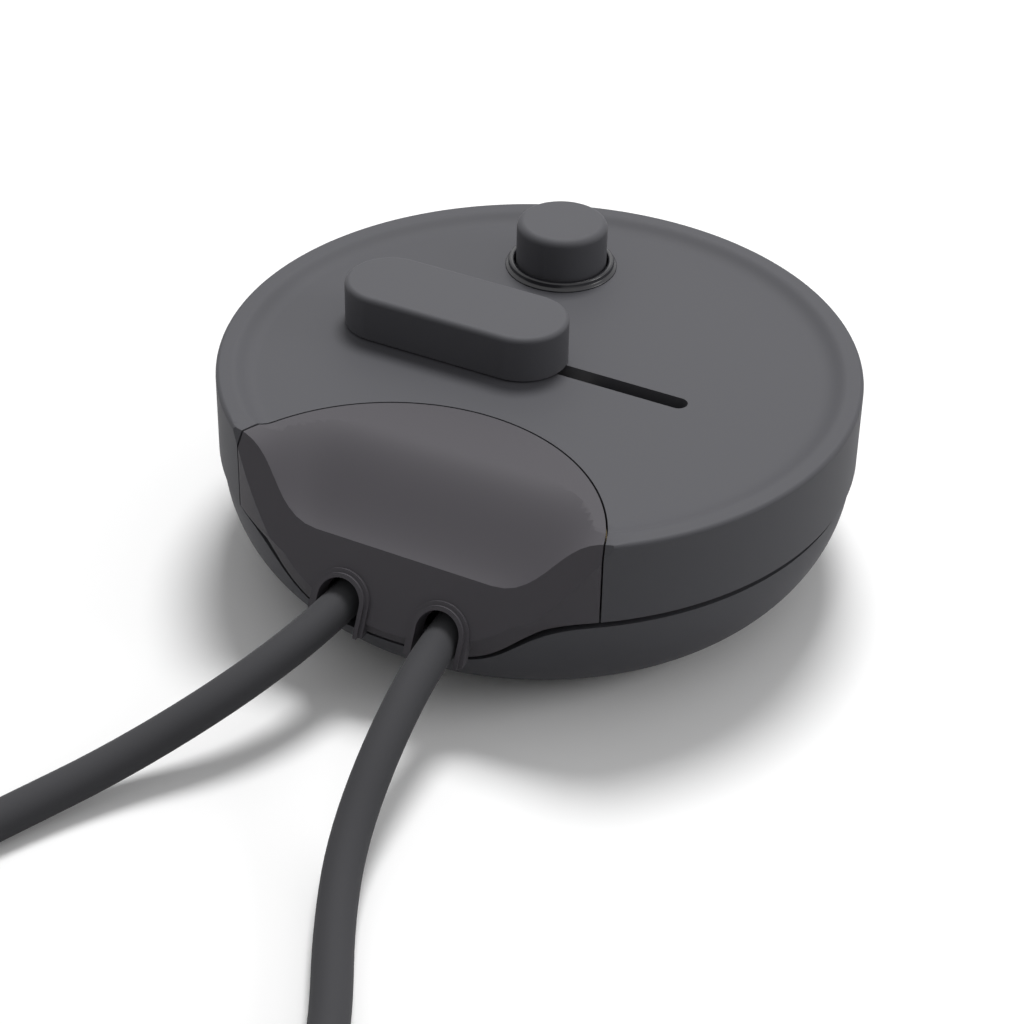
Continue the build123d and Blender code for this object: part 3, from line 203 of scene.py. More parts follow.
class Finishes(bpy.types.PropertyGroup):
    """Colours of the visible finishes"""

    housing: colour("Housing", (0.036, 0.0345, 0.04), "Textured black of the housings")
    control: colour("Controls", (0.018, 0.017, 0.02), "Smooth black of the slider and button")
    collar: colour("Collar", (0.006, 0.006, 0.007), "Glossy black of the collar")
    lead: colour("Leads", (0.01, 0.01, 0.011), "Black of the leads")
    plug: colour("Plug", (0.020, 0.020, 0.021), "Black of the plug")
    rubber: colour("Feet", (0.018, 0.018, 0.018), "Black of the feet")
    floor: colour("Floor", (0.97, 0.97, 0.97), "Pale floor")


def drum():
    return bpy.context.scene.dimmer_drum


def cover():
    return bpy.context.scene.dimmer_cover


def fixings():
    return bpy.context.scene.dimmer_fixings


def controls():
    return bpy.context.scene.dimmer_controls


def leads():
    return bpy.context.scene.dimmer_leads


def finishes():
    return bpy.context.scene.dimmer_finishes


# Mesh tools


def finished(bm, name, centre=(0, 0, 0)):
    """Closes a bmesh into an object with outward faces, moved to its centre."""
    bmesh.ops.remove_doubles(bm, verts=bm.verts, dist=1e-7)
    bmesh.ops.translate(bm, verts=bm.verts, vec=centre)
    bmesh.ops.recalc_face_normals(bm, faces=bm.faces)
    mesh = bpy.data.meshes.new(name)
    bm.to_mesh(mesh)
    bm.free()
    piece = bpy.data.objects.new(name, mesh)
    bpy.context.scene.collection.objects.link(piece)
    return piece


def spun(name, outline, steps, centre=(0, 0, 0), closed=False):
    """A solid of revolution about an upright axis from (radius, height) points."""
    bm = bmesh.new()
    chain = [bm.verts.new((r, 0, z)) for r, z in outline]
    pairs = list(zip(chain, chain[1:]))
    if closed:
        pairs.append((chain[-1], chain[0]))
    edges = [bm.edges.new(pair) for pair in pairs]
    bmesh.ops.spin(
        bm, geom=chain + edges, cent=(0, 0, 0), axis=(0, 0, 1), angle=2 * pi, steps=steps, use_merge=True
    )
    bmesh.ops.remove_doubles(bm, verts=bm.verts, dist=1e-7)
    bmesh.ops.dissolve_degenerate(bm, edges=bm.edges, dist=1e-7)
    return finished(bm, name, centre)


def prism(name, outline, move, centre=(0, 0, 0)):
    """A straight solid from a closed loop of points, extruded by a vector."""
    bm = bmesh.new()
    face = bm.faces.new([bm.verts.new(point) for point in outline])
    made = bmesh.ops.extrude_face_region(bm, geom=[face])
    top = [v for v in made["geom"] if isinstance(v, bmesh.types.BMVert)]
    bmesh.ops.translate(bm, verts=top, vec=move)
    return finished(bm, name, centre)


def block(name, low, high):
    """A box between two corners."""
    bm = bmesh.new()
    bmesh.ops.create_cube(bm, size=1)
    bmesh.ops.scale(bm, verts=bm.verts, vec=[b - a for a, b in zip(low, high)])
    return finished(bm, name, [(a + b) / 2 for a, b in zip(low, high)])


def column(name, place, radius, low, high, steps=64):
    """An upright cylinder."""
    return spun(name, [(0, low), (radius, low), (radius, high), (0, high)], steps, (*place, 0))


def copied(piece, name):
    """A separate copy of a piece."""
    twin = piece.copy()
    twin.data = piece.data.copy()
    twin.name = name
    bpy.context.scene.collection.objects.link(twin)
    return twin


def settle(piece):
    """Applies the piece's modifiers to its mesh."""
    graph = bpy.context.evaluated_depsgraph_get()
    mesh = bpy.data.meshes.new_from_object(piece.evaluated_get(graph))
    old = piece.data
    piece.modifiers.clear()
    piece.data = mesh
    mesh.name = piece.name
    bpy.data.meshes.remove(old)
    return piece


def combine(piece, tool, operation, keep=False):
    """Adds, cuts or intersects a tool with a piece, and removes the tool."""
    change = piece.modifiers.new("combine", "BOOLEAN")
    change.operation = operation
    change.solver = "MANIFOLD"
    change.object = tool
    settle(piece)
    if not keep:
        bpy.data.objects.remove(tool)
    return piece


def soften(piece, width, segments=2, limit=32):
    """Rounds the piece's sharp edges and shades it smooth."""
    bm = bmesh.new()
    bm.from_mesh(piece.data)
    bmesh.ops.remove_doubles(bm, verts=bm.verts, dist=0.02 * MM)
    bmesh.ops.dissolve_degenerate(bm, edges=bm.edges, dist=0.01 * MM)
    bm.to_mesh(piece.data)
    bm.free()
    if width:
        rounding = piece.modifiers.new("edges", "BEVEL")
        rounding.width = width
        rounding.segments = segments
        rounding.limit_method = "ANGLE"
        rounding.angle_limit = radians(limit)
        rounding.use_clamp_overlap = True
        rounding.loop_slide = True
        rounding.miter_outer = "MITER_ARC"
        settle(piece)
    piece.data.shade_smooth()
    normals = piece.modifiers.new("normals", "WEIGHTED_NORMAL")
    normals.keep_sharp = True
    normals.weight = 60
    return settle(piece)


def arc(centre, radius, start, end, count):
    """Points of an arc in degrees, ends included."""
    angles = [radians(start + (end - start) * i / count) for i in range(count + 1)]
    return [(centre[0] + radius * cos(a), centre[1] + radius * sin(a)) for a in angles]


def bezier(a, b, c, d, count):
    """Points of a cubic curve, ends included."""
    points = []
    for i in range(count + 1):
        t = i / count
        weights = ((1 - t) ** 3, 3 * t * (1 - t) ** 2, 3 * t * t * (1 - t), t**3)
        points.append(tuple(sum(w * p[k] for w, p in zip(weights, (a, b, c, d))) for k in range(len(a))))
    return points


def smooth(share):
    """Smooth step from 0 to 1."""
    return share * share * (3 - 2 * share)


# Forms that the housings share


def shell_radius():
    """Outer radius of the lower shell at its top."""
    return drum().radius - drum().shell_step


def shell_top():
    """Height of the lower shell's edge away from the dip."""
    return drum().wall_bottom - drum().gap


def bowl_curve(inset, count=28):
    """Points of the bowl's wall from its top down to its base, drawn in by inset."""
    d = drum()
    run = shell_radius() - d.base_radius
    rise = shell_top() - d.base_height
    radius = (run**2 + rise**2) / (2 * run)
    centre = shell_radius() - radius
    floor = d.base_height + inset
    depth = shell_top() - floor
    reach = atan2(depth, sqrt((radius - inset) ** 2 - depth**2))
    return arc((centre, shell_top()), radius - inset, 0, -reach * 180 / pi, count)


def drum_outline(inset):
    """Profile of the whole drum down to its base, drawn in by inset."""
    d = drum()
    top = d.rim_height - d.dish_depth - inset
    side = d.radius - inset
    if inset:
        points = [(0, top), (side, top)]
    else:
        low_handle, high_handle = 0.55, 0.3
        rim_inner = side - d.rim_width
        dish = rim_inner - d.dish_slope
        slope = bezier(
            (dish, top),
            (dish + d.dish_slope * low_handle, top),
            (rim_inner - d.dish_slope * high_handle, d.rim_height),
            (rim_inner, d.rim_height),
            14,
        )
        corner = (side - d.rim_rounding, d.rim_height - d.rim_rounding)
        points = [(0, top), (dish * 0.5, top), *slope, *reversed(arc(corner, d.rim_rounding, 0, 90, 8))]
    points.append((side, d.wall_bottom))
    points.extend(bowl_curve(inset))
    points.append((0, d.base_height + inset))
    return points


def swoop_tool(inset):
    """Everything above the swoop of the cover's top, lowered by inset."""
    c = cover()
    d = drum()
    across, along = 40, 46
    lead_in, run = 4 * MM, c.swoop_start - c.swoop_edge
    lead_rise = 0.5 * MM
    used_share = 0.85  # of the smooth step, so that the fall is still steep at the edge
    flat_share, reach_share = 0.3, 0.95
    widening = 0.4  # for each unit of inset
    far = d.radius + 10 * MM
    dish = d.rim_height - d.dish_depth
    rim = d.rim_height - inset
    flat = c.swoop_flat + widening * inset
    outer = c.swoop_reach + widening * inset
    beyond = 12 * MM
    whole = lead_in + run + beyond
    bm = bmesh.new()
    bmesh.ops.create_grid(bm, x_segments=across, y_segments=along, size=1)
    for v in bm.verts:
        distance = (1 - v.co.y) / 2 * whole - lead_in
        share = min(max(distance / run, 0), 1)
        fall = c.swoop_drop * smooth(share * used_share) / smooth(used_share)
        low = dish - fall - max(distance - run, 0) * c.swoop_tilt - inset
        low += lead_rise * max(-distance / lead_in, 0) ** 2
        side, place = (1 if v.co.x > 0 else -1), abs(v.co.x)
        if place <= flat_share:
            x, z = place / flat_share * flat, low
        elif place <= reach_share:
            t = (place - flat_share) / (reach_share - flat_share)
            x = flat + (outer - flat) * (1.5 * t * (1 - t) + t**3)
            z = low + (rim - low) * smooth(t)
        else:
            x, z = outer + (place - reach_share) / (1 - reach_share) * (far - outer), rim
        v.co = (side * x, c.swoop_start - widening * inset - distance, z)
    made = bmesh.ops.extrude_face_region(bm, geom=list(bm.faces))
    for v in made["geom"]:
        if isinstance(v, bmesh.types.BMVert):
            v.co.z = d.rim_height + 20 * MM
    return finished(bm, "swoop_tool")


def face_frame():
    """Origin, up and outward directions of the cover's inclined face."""
    c = cover()
    outward = Vector((0, -1, c.face_slope)).normalized()
    up = Vector((0, c.face_slope, 1)).normalized()
    return Vector((0, c.face_y, drum().rim_height)), up, outward


def front_tool(inset):
    """Everything in front of the inclined face, drawn in by inset."""
    origin, up, outward = face_frame()
    far = 3 * drum().radius
    middle = origin - outward * inset
    side = Vector((far, 0, 0))
    corners = ((-1, -1), (1, -1), (1, 1), (-1, 1))
    outline = [middle + side * across + up * far * along for across, along in corners]
    return prism("front_tool", outline, outward * far)


def drum_form(name, inset):
    """The drum's closed form with its swoop and inclined face, drawn in by inset."""
    piece = spun(name, drum_outline(inset), drum().steps)
    combine(piece, swoop_tool(inset), "DIFFERENCE")
    return combine(piece, front_tool(inset), "DIFFERENCE")


def above_tool(level, dip_level):
    """All space above the parting line, which dips to the front."""
    d = drum()
    far = 2 * d.radius
    middle = (d.dip_inner + d.dip_outer) / 2
    right = bezier((d.dip_inner, dip_level), (middle, dip_level), (middle, level), (d.dip_outer, level), 24)
    left = [(-x, z) for x, z in reversed(right)]
    line = [*left, *right, (d.dip_outer, level + MM), (-d.dip_outer, level + MM)]
    dip = prism("dip", [(x, -far, z) for x, z in line], (0, far + d.dip_back, 0))
    return combine(block("above_tool", (-far, -far, level), (far, far, far)), dip, "UNION")


def seam_tool(radius):
    """The upright cylinder whose wall is the seam."""
    return column("seam_tool", (0, cover().seam_centre), radius, -10 * MM, 80 * MM, 192)


def stadium(name, half, width, low, high, x=0.0, count=20):
    """An upright block with round ends along X."""
    r = width / 2
    right = arc((x + half - r, 0), r, -90, 90, count)
    left = arc((x - half + r, 0), r, 90, 270, count)
    return prism(name, [(px, py, low) for px, py in right + left], (0, 0, high - low))


def pillar_places():
    """Places of the housing screws."""
    f = fixings()
    return [(sx * f.pillar_x, sy * f.pillar_y) for sx in (-1, 1) for sy in (-1, 1)]


def cover_pillar_places():
    """Places of the cover's screws."""
    f = fixings()
    return [(side * f.cover_pillar_x, f.cover_pillar_y) for side in (-1, 1)]


def arch_tool(name, radius, start, end):
    """Two arched blocks on the inclined face, from start to end along its outward direction."""
    c = cover()
    origin, up, outward = face_frame()
    lean = sqrt(1 + c.face_slope**2)
    v = (c.arch_height - drum().rim_height) * lean
    foot = v - 16 * MM
    blocks = []
    for side in (-1, 1):
        x = side * leads().lead_x
        outline = [(x + radius, foot)] + arc((x, v), radius, 0, 180, 28) + [(x - radius, foot)]
        points = [origin + Vector((px, 0, 0)) + up * pv + outward * start for px, pv in outline]
        blocks.append(prism(name, points, outward * (end - start)))
    return blocks


# Finishes


def material(name, base, roughness, **more):
    """A new node material with its shader set."""
    made = bpy.data.materials.new(name)
    made.use_nodes = True
    shader = made.node_tree.nodes["Principled BSDF"]
    shader.inputs["Base Color"].default_value = (*base, 1)
    shader.inputs["Roughness"].default_value = roughness
    for socket, value in more.items():
        shader.inputs[socket.replace("_", " ")].default_value = value
    return made, made.node_tree.nodes, made.node_tree.links, shader


def noise(nodes, links, scale, detail=2.0, rough=0.5, stretch=(1, 1, 1)):
    """Noise on Object coordinates."""
    place = nodes.new("ShaderNodeTexCoord")
    mapping = nodes.new("ShaderNodeMapping")
    mapping.inputs["Scale"].default_value = stretch
    texture = nodes.new("ShaderNodeTexNoise")
    texture.inputs["Scale"].default_value = scale
    texture.inputs["Detail"].default_value = detail
    texture.inputs["Roughness"].default_value = rough
    links.new(place.outputs["Object"], mapping.inputs["Vector"])
    links.new(mapping.outputs["Vector"], texture.inputs["Vector"])
    return texture.outputs["Fac"]


def spread(nodes, links, factor, low, high, start=0.3, end=0.7):
    """Maps a factor to the range from low to high."""
    ramp = nodes.new("ShaderNodeMapRange")
    ramp.inputs["From Min"].default_value = start
    ramp.inputs["From Max"].default_value = end
    ramp.inputs["To Min"].default_value = low
    ramp.inputs["To Max"].default_value = high
    links.new(factor, ramp.inputs["Value"])
    return ramp.outputs["Result"]


def tinted(nodes, links, factor, dark, light):
    """Mixes two colours by a factor."""
    mix = nodes.new("ShaderNodeMix")
    mix.data_type = "RGBA"
    mix.inputs["A"].default_value = (*dark, 1)
    mix.inputs["B"].default_value = (*light, 1)
    links.new(factor, mix.inputs["Factor"])
    return mix.outputs["Result"]


def bumped(nodes, links, shader, layers):
    """Chains bump layers, each a height, its strength and its depth."""
    normal = None
    for height, strength, depth in layers:
        bump = nodes.new("ShaderNodeBump")
        bump.inputs["Strength"].default_value = strength
        bump.inputs["Distance"].default_value = depth
        links.new(height, bump.inputs["Height"])
        if normal:
            links.new(normal, bump.inputs["Normal"])
        normal = bump.outputs["Normal"]
    links.new(normal, shader.inputs["Normal"])


def shade(base, factor):
    """A colour made lighter or darker."""
    return tuple(min(c * factor, 1) for c in base)


def moulded_plastic(name, base, roughness, grain, depth, variation=0.12, gleam=0.5):
    """Moulded plastic with spark-eroded grain, faint clouding and uneven sheen."""
    made, nodes, links, shader = material(name, base, roughness, Specular_IOR_Level=gleam)
    cloud = spread(nodes, links, noise(nodes, links, 38, 4), 0, 1)
    clouded = tinted(nodes, links, cloud, shade(base, 1 - variation), shade(base, 1 + variation))
    links.new(clouded, shader.inputs["Base Color"])
    sheen = noise(nodes, links, 160, 5, 0.6)
    links.new(spread(nodes, links, sheen, roughness - 0.05, roughness + 0.05), shader.inputs["Roughness"])
    fine = noise(nodes, links, grain, 3, 0.6)
    broad = noise(nodes, links, grain * 0.28, 2)
    bumped(nodes, links, shader, [(broad, 0.5, depth), (fine, 0.8, depth * 0.6)])
    return made


def smooth_plastic(name, base, roughness, coat=0.0, gleam=0.5):
    """Polished or satin plastic with faint clouding and hairline wear."""
    made, nodes, links, shader = material(
        name, base, roughness, Coat_Weight=coat, Coat_Roughness=0.12, Specular_IOR_Level=gleam
    )
    cloud = spread(nodes, links, noise(nodes, links, 60, 4), 0, 1)
    links.new(tinted(nodes, links, cloud, shade(base, 0.9), shade(base, 1.1)), shader.inputs["Base Color"])
    wear = noise(nodes, links, 420, 3, 0.55, (1, 6, 1))
    links.new(spread(nodes, links, wear, roughness - 0.03, roughness + 0.05), shader.inputs["Roughness"])
    bumped(nodes, links, shader, [(noise(nodes, links, 2600, 2), 0.35, 0.006 * MM)])
    return made


def sheath(name, base, roughness=0.3):
    """Flexible lead sheath with a slightly waxy, uneven skin."""
    made, nodes, links, shader = material(name, base, roughness, Specular_IOR_Level=0.2)
    cloud = spread(nodes, links, noise(nodes, links, 90, 3), 0, 1)
    links.new(tinted(nodes, links, cloud, shade(base, 0.85), shade(base, 1.2)), shader.inputs["Base Color"])
    skin = noise(nodes, links, 500, 4, 0.6)
    links.new(spread(nodes, links, skin, roughness - 0.08, roughness + 0.08), shader.inputs["Roughness"])
    bumped(nodes, links, shader, [(noise(nodes, links, 260, 2), 0.4, 0.05 * MM), (skin, 0.4, 0.02 * MM)])
    return made


def metal(name, base, roughness, grain=900, stretch=(1, 1, 12)):
    """Plated or drawn metal with fine lines."""
    made, nodes, links, shader = material(name, base, roughness, Metallic=1.0)
    lines = noise(nodes, links, grain, 3, 0.6, stretch)
    links.new(spread(nodes, links, lines, roughness - 0.08, roughness + 0.1), shader.inputs["Roughness"])
    links.new(tinted(nodes, links, lines, shade(base, 0.88), shade(base, 1.06)), shader.inputs["Base Color"])
    bumped(nodes, links, shader, [(lines, 0.3, 0.01 * MM)])
    return made


def glass(name, base):
    """Clear tube glass with a faint unevenness."""
    made, nodes, links, shader = material(name, base, 0.05, Transmission_Weight=1.0, IOR=1.5)
    bumped(nodes, links, shader, [(noise(nodes, links, 300, 2), 0.2, 0.01 * MM)])
    return made


def finish_table():
    """Every material slot of the record with its finish."""
    f = finishes()
    return {
        "housing_black": moulded_plastic("housing_black", f.housing, 0.34, 3800, 0.028 * MM, gleam=0.08),
        "cover_black": moulded_plastic("cover_black", f.housing, 0.34, 3800, 0.028 * MM, gleam=0.08),
        "control_black": smooth_plastic("control_black", f.control, 0.2, gleam=0.2),
        "collar_gloss": smooth_plastic("collar_gloss", f.collar, 0.14, coat=0.6),
        "lead_black": sheath("lead_black", f.lead),
        "plug_black": moulded_plastic("plug_black", f.plug, 0.55, 3000, 0.02 * MM),
        "rubber_black": moulded_plastic("rubber_black", f.rubber, 0.8, 2400, 0.03 * MM),
        "switch_white": moulded_plastic("switch_white", (0.72, 0.70, 0.65), 0.45, 3000, 0.01 * MM, 0.05),
        "terminal_white": moulded_plastic("terminal_white", (0.75, 0.74, 0.68), 0.45, 3000, 0.01 * MM, 0.05),
        "board_green": moulded_plastic("board_green", (0.42, 0.33, 0.16), 0.55, 1800, 0.02 * MM, 0.15),
        "capacitor_yellow": smooth_plastic("capacitor_yellow", (0.68, 0.50, 0.09), 0.3),
        "capacitor_red": smooth_plastic("capacitor_red", (0.42, 0.10, 0.05), 0.25),
        "resistor_beige": smooth_plastic("resistor_beige", (0.6, 0.5, 0.33), 0.35),
        "epoxy_black": moulded_plastic("epoxy_black", (0.03, 0.03, 0.03), 0.5, 3000, 0.01 * MM),
        "ferrite_grey": moulded_plastic("ferrite_grey", (0.16, 0.16, 0.17), 0.6, 2600, 0.02 * MM),
        "winding_copper": metal("winding_copper", (0.72, 0.3, 0.12), 0.3),
        "steel_zinc": metal("steel_zinc", (0.62, 0.63, 0.65), 0.3),
        "sink_aluminium": metal("sink_aluminium", (0.75, 0.76, 0.77), 0.35),
        "brass_plain": metal("brass_plain", (0.78, 0.6, 0.3), 0.28),
        "spring_steel": metal("spring_steel", (0.58, 0.58, 0.6), 0.25),
        "fuse_glass": glass("fuse_glass", (0.9, 0.93, 0.93)),
        "core_brown": sheath("core_brown", (0.16, 0.07, 0.03), 0.4),
    }


def slot_of(node):
    """The record's material slot of a node."""
    return next(s["material_slot"] for s in frame["record"]["subparts"] if s["node"] == node)


def dress(piece, slot_name):
    """Gives a piece the one finish of a slot."""
    piece.data.materials.clear()
    piece.data.materials.append(bpy.data.materials[slot_name])
    return piece


def place(piece, body, slot_name, *nodes):
    """Finishes a new piece, lets it ride on a body and stands it in for its nodes."""
    dress(piece, slot_name)
    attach(piece, body)
    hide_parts(*nodes)


# Operators


class DIMMER_OT_stage(bpy.types.Operator):
    """Pale floor, soft lights, white surround and the camera"""

    bl_idname = "dimmer.stage"
    bl_label = "Stage"

    def execute(self, context):
        scene = context.scene
        scene.view_settings.view_transform = "Standard"
        bm = bmesh.new()
        bmesh.ops.create_grid(bm, x_segments=1, y_segments=1, size=4)
        floor = finished(bm, "floor")
        floor.data.materials.append(floor_finish())
        world = bpy.data.worlds.new("surround")
        scene.world = world
        surround(world)
        for name, where, size, power in LAMPS:
            data = bpy.data.lights.new(name, "AREA")
            data.shape = "DISK"
            data.size = size
            data.energy = power
            lamp = bpy.data.objects.new(name, data)
            lamp.location = where
            aim = Vector((0, 0, 0.02)) - lamp.location
            lamp.rotation_euler = aim.to_track_quat("-Z", "Y").to_euler()
            scene.collection.objects.link(lamp)
        scene.camera = camera()
        return {"FINISHED"}


def camera():
    """The camera at the photograph's viewing angle, aimed at the middle of the drum's rim."""
    azimuth, elevation, roll = radians(25.85), radians(32.08), radians(1.58)
    distance, lens_mm, sensor_mm = 0.40287, 87.89, 36
    aim_x, aim_y = 540.35, 357.09  # where the aim stands in the picture, in pixels
    data = bpy.data.cameras.new("camera")
    data.sensor_width = sensor_mm
    data.lens = lens_mm
    data.shift_x = -(aim_x - PICTURE / 2) / PICTURE
    data.shift_y = -(PICTURE / 2 - aim_y) / PICTURE
    data.clip_start, data.clip_end = 0.01, 50
    made = bpy.data.objects.new("camera", data)
    back = Vector((sin(azimuth) * cos(elevation), -cos(azimuth) * cos(elevation), sin(elevation)))
    made.location = Vector((0, 0, drum().rim_height)) + back * distance
    made.rotation_mode = "QUATERNION"
    made.rotation_quaternion = (-back).to_track_quat("-Z", "Y") @ Quaternion((0, 0, 1), roll)
    bpy.context.scene.collection.objects.link(made)
    return made


def seen(nodes, links):
    """1 for what is seen directly, in a mirror or through glass, and 0 for the light that objects get."""
    path = nodes.new("ShaderNodeLightPath")
    total = path.outputs["Is Camera Ray"]
    for ray in ("Is Glossy Ray", "Is Transmission Ray"):
        either = nodes.new("ShaderNodeMath")
        either.operation = "MAXIMUM"
        links.new(total, either.inputs[0])
        links.new(path.outputs[ray], either.inputs[1])
        total = either.outputs[0]
    return total


def surround(world):
    """White to be seen, and a dim room with a pale ceiling as the light that objects get."""
    world.use_nodes = True
    nodes, links = world.node_tree.nodes, world.node_tree.links
    background = nodes["Background"]
    background.inputs["Color"].default_value = (1, 1, 1, 1)
    direction = nodes.new("ShaderNodeTexCoord")
    parts = nodes.new("ShaderNodeSeparateXYZ")
    links.new(direction.outputs["Generated"], parts.inputs["Vector"])
    walls, ceiling = 0.08, 0.5
    low, high = 0.05, 0.75  # heights of the direction between which the one passes into the other
    room = spread(nodes, links, parts.outputs["Z"], walls, ceiling, low, high)
    strength = nodes.new("ShaderNodeMix")
    strength.inputs["B"].default_value = 1.0
    links.new(seen(nodes, links), strength.inputs["Factor"])
    links.new(room, strength.inputs["A"])
    links.new(strength.outputs["Result"], background.inputs["Strength"])


def floor_finish():
    """Matt pale floor that throws back less light than it shows."""
    base = finishes().floor
    thrown_back = 0.2
    made, nodes, links, shader = material("floor", base, 0.9)
    shader.inputs["Specular IOR Level"].default_value = 0.2
    cloud = noise(nodes, links, 3, 2)
    white = tinted(nodes, links, cloud, shade(base, 0.99), shade(base, 1.01))
    mix = nodes.new("ShaderNodeMix")
    mix.data_type = "RGBA"
    mix.inputs["A"].default_value = (*shade(base, thrown_back), 1)
    links.new(seen(nodes, links), mix.inputs["Factor"])
    links.new(white, mix.inputs["B"])
    links.new(mix.outputs["Result"], shader.inputs["Base Color"])
    return made


class DIMMER_OT_finishes(bpy.types.Operator):
    """Materials for every slot, laid on all nodes of the frame"""

    bl_idname = "dimmer.finishes"
    bl_label = "Finishes"

    def execute(self, context):
        made = finish_table()
        for node, piece in frame["nodes"].items():
            piece.data.materials.clear()
            piece.data.materials.append(made[slot_of(node)])
        return {"FINISHED"}


class DIMMER_OT_drum(bpy.types.Operator):
    """Top housing and terminal cover of the drum"""

    bl_idname = "dimmer.drum"
    bl_label = "Drum"

    def execute(self, context):
        d, c, f, k = drum(), cover(), fixings(), controls()
        far = 100 * MM
        outer = drum_form("drum_outer", 0)
        hollow = drum_form("drum_hollow", d.wall)
        under_top = d.rim_height - d.dish_depth - d.wall

        top = copied(outer, "top_shell")
        combine(top, block("low", (-far, -far, -10 * MM), (far, far, d.wall_bottom)), "DIFFERENCE")
        combine(top, hollow, "DIFFERENCE", keep=True)
        combine(top, seam_tool(c.seam_radius + c.seam_gap / 2), "DIFFERENCE")
        for spot in pillar_places():
            boss = column("boss", spot, f.boss_radius, f.boss_bottom, under_top + d.wall / 2)
            combine(top, boss, "UNION")
            pilot = column("pilot", spot, f.pilot_radius, f.pilot_bottom, f.pilot_top, 32)
            combine(top, pilot, "DIFFERENCE")
        slot = stadium("slot", k.slot_half, k.slot_width, under_top - MM, d.rim_height)
        combine(top, slot, "DIFFERENCE")
        hole = column("hole", (k.button_x, k.button_y), k.collar_hole, under_top - MM, d.rim_height, 96)
        combine(top, hole, "DIFFERENCE")
        soften(top, d.edge)
        place(top, HOUSING, "housing_black", "top_housing")

        shell = copied(outer, "cover_shell")
        combine(shell, above_tool(d.wall_bottom, d.dip_bottom), "INTERSECT")
        combine(shell, hollow, "DIFFERENCE")
        combine(shell, seam_tool(c.seam_radius - c.seam_gap / 2), "INTERSECT")
        for radius, height in ((c.ring_outer, c.step_outer), (c.ring_inner, c.step_inner)):
            for ring in arch_tool("ring", radius, -1 * MM, height):
                combine(ring, above_tool(d.wall_bottom, d.dip_bottom), "INTERSECT")
                combine(shell, ring, "UNION")
        for opening in arch_tool("opening", c.arch_radius, -6 * MM, 4 * MM):
            combine(shell, opening, "DIFFERENCE")
        soften(shell, d.edge)
        place(shell, HOUSING, "cover_black", "terminal_cover")
        bpy.data.objects.remove(outer)
        return {"FINISHED"}


class DIMMER_OT_lower_shell(bpy.types.Operator):
    """Bowl-shaped bottom housing with its screw wells and foot recesses"""

    bl_idname = "dimmer.lower_shell"
    bl_label = "Lower shell"

    def execute(self, context):
        d, f = drum(), fixings()
        top = d.rim_height - d.dish_depth
        lip_near, lip_far = d.wall + 0.3 * MM, d.wall + 1.6 * MM
        lip_rise, root_depth = 2 * MM, 3 * MM
        edge_line = (shell_top(), d.dip_bottom - d.lip_gap)
        root_line = [level - root_depth for level in edge_line]
        lip_line = (d.wall_bottom + lip_rise, d.dip_bottom + lip_rise)
        notch_gap, notch_top, notch_front, notch_run = 0.2 * MM, 30 * MM, -60 * MM, 24 * MM

        def bowl(name, inset):
            """The bowl's closed form, drawn in by inset."""
            side = shell_radius() - inset
            floor = d.base_height + inset
            return spun(name, [(0, top), (side, top), *bowl_curve(inset), (0, floor)], d.steps)

        def strip(name, near, far, low_line, high_line):
            """A strip of wall between two insets and two parting lines."""
            band = combine(bowl(name, near), bowl("inside", far), "DIFFERENCE")
            combine(band, above_tool(*low_line), "INTERSECT")
            return combine(band, above_tool(*high_line), "DIFFERENCE")

        piece = bowl("lower_shell", 0)
        combine(piece, bowl("inside", d.wall), "DIFFERENCE")
        combine(piece, above_tool(*edge_line), "DIFFERENCE")
        lip = strip("lip", lip_near, lip_far, root_line, lip_line)
        root = strip("root", d.wall / 2, lip_far, root_line, edge_line)
        combine(lip, root, "UNION")
        combine(piece, lip, "UNION")
        for spot in pillar_places() + cover_pillar_places():
            pillar = column("pillar", spot, f.pillar_radius, f.pillar_bottom, f.pillar_top)
            combine(piece, pillar, "UNION")
            combine(piece, column("well", spot, f.well_radius, -MM, f.well_top), "DIFFERENCE")
            hole = column("hole", spot, f.hole_radius, f.hole_bottom, f.hole_top, 32)
            combine(piece, hole, "DIFFERENCE")
        for angle in (45, 135, 225, 315):
            spot = (f.foot_circle * cos(radians(angle)), f.foot_circle * sin(radians(angle)))
            combine(piece, column("recess", spot, f.foot_radius, -MM, f.foot_top), "DIFFERENCE")
        for side in (-1, 1):
            x = side * leads().lead_x
            r = leads().diameter / 2 + notch_gap
            outline = arc((x, leads().lead_height), r, 180, 360, 24)
            outline += [(x + r, notch_top), (x - r, notch_top)]
            notch = prism("notch", [(px, notch_front, pz) for px, pz in outline], (0, notch_run, 0))
            combine(piece, notch, "DIFFERENCE")
        soften(piece, d.edge)
        place(piece, HOUSING, "housing_black", "bottom_housing")
        return {"FINISHED"}


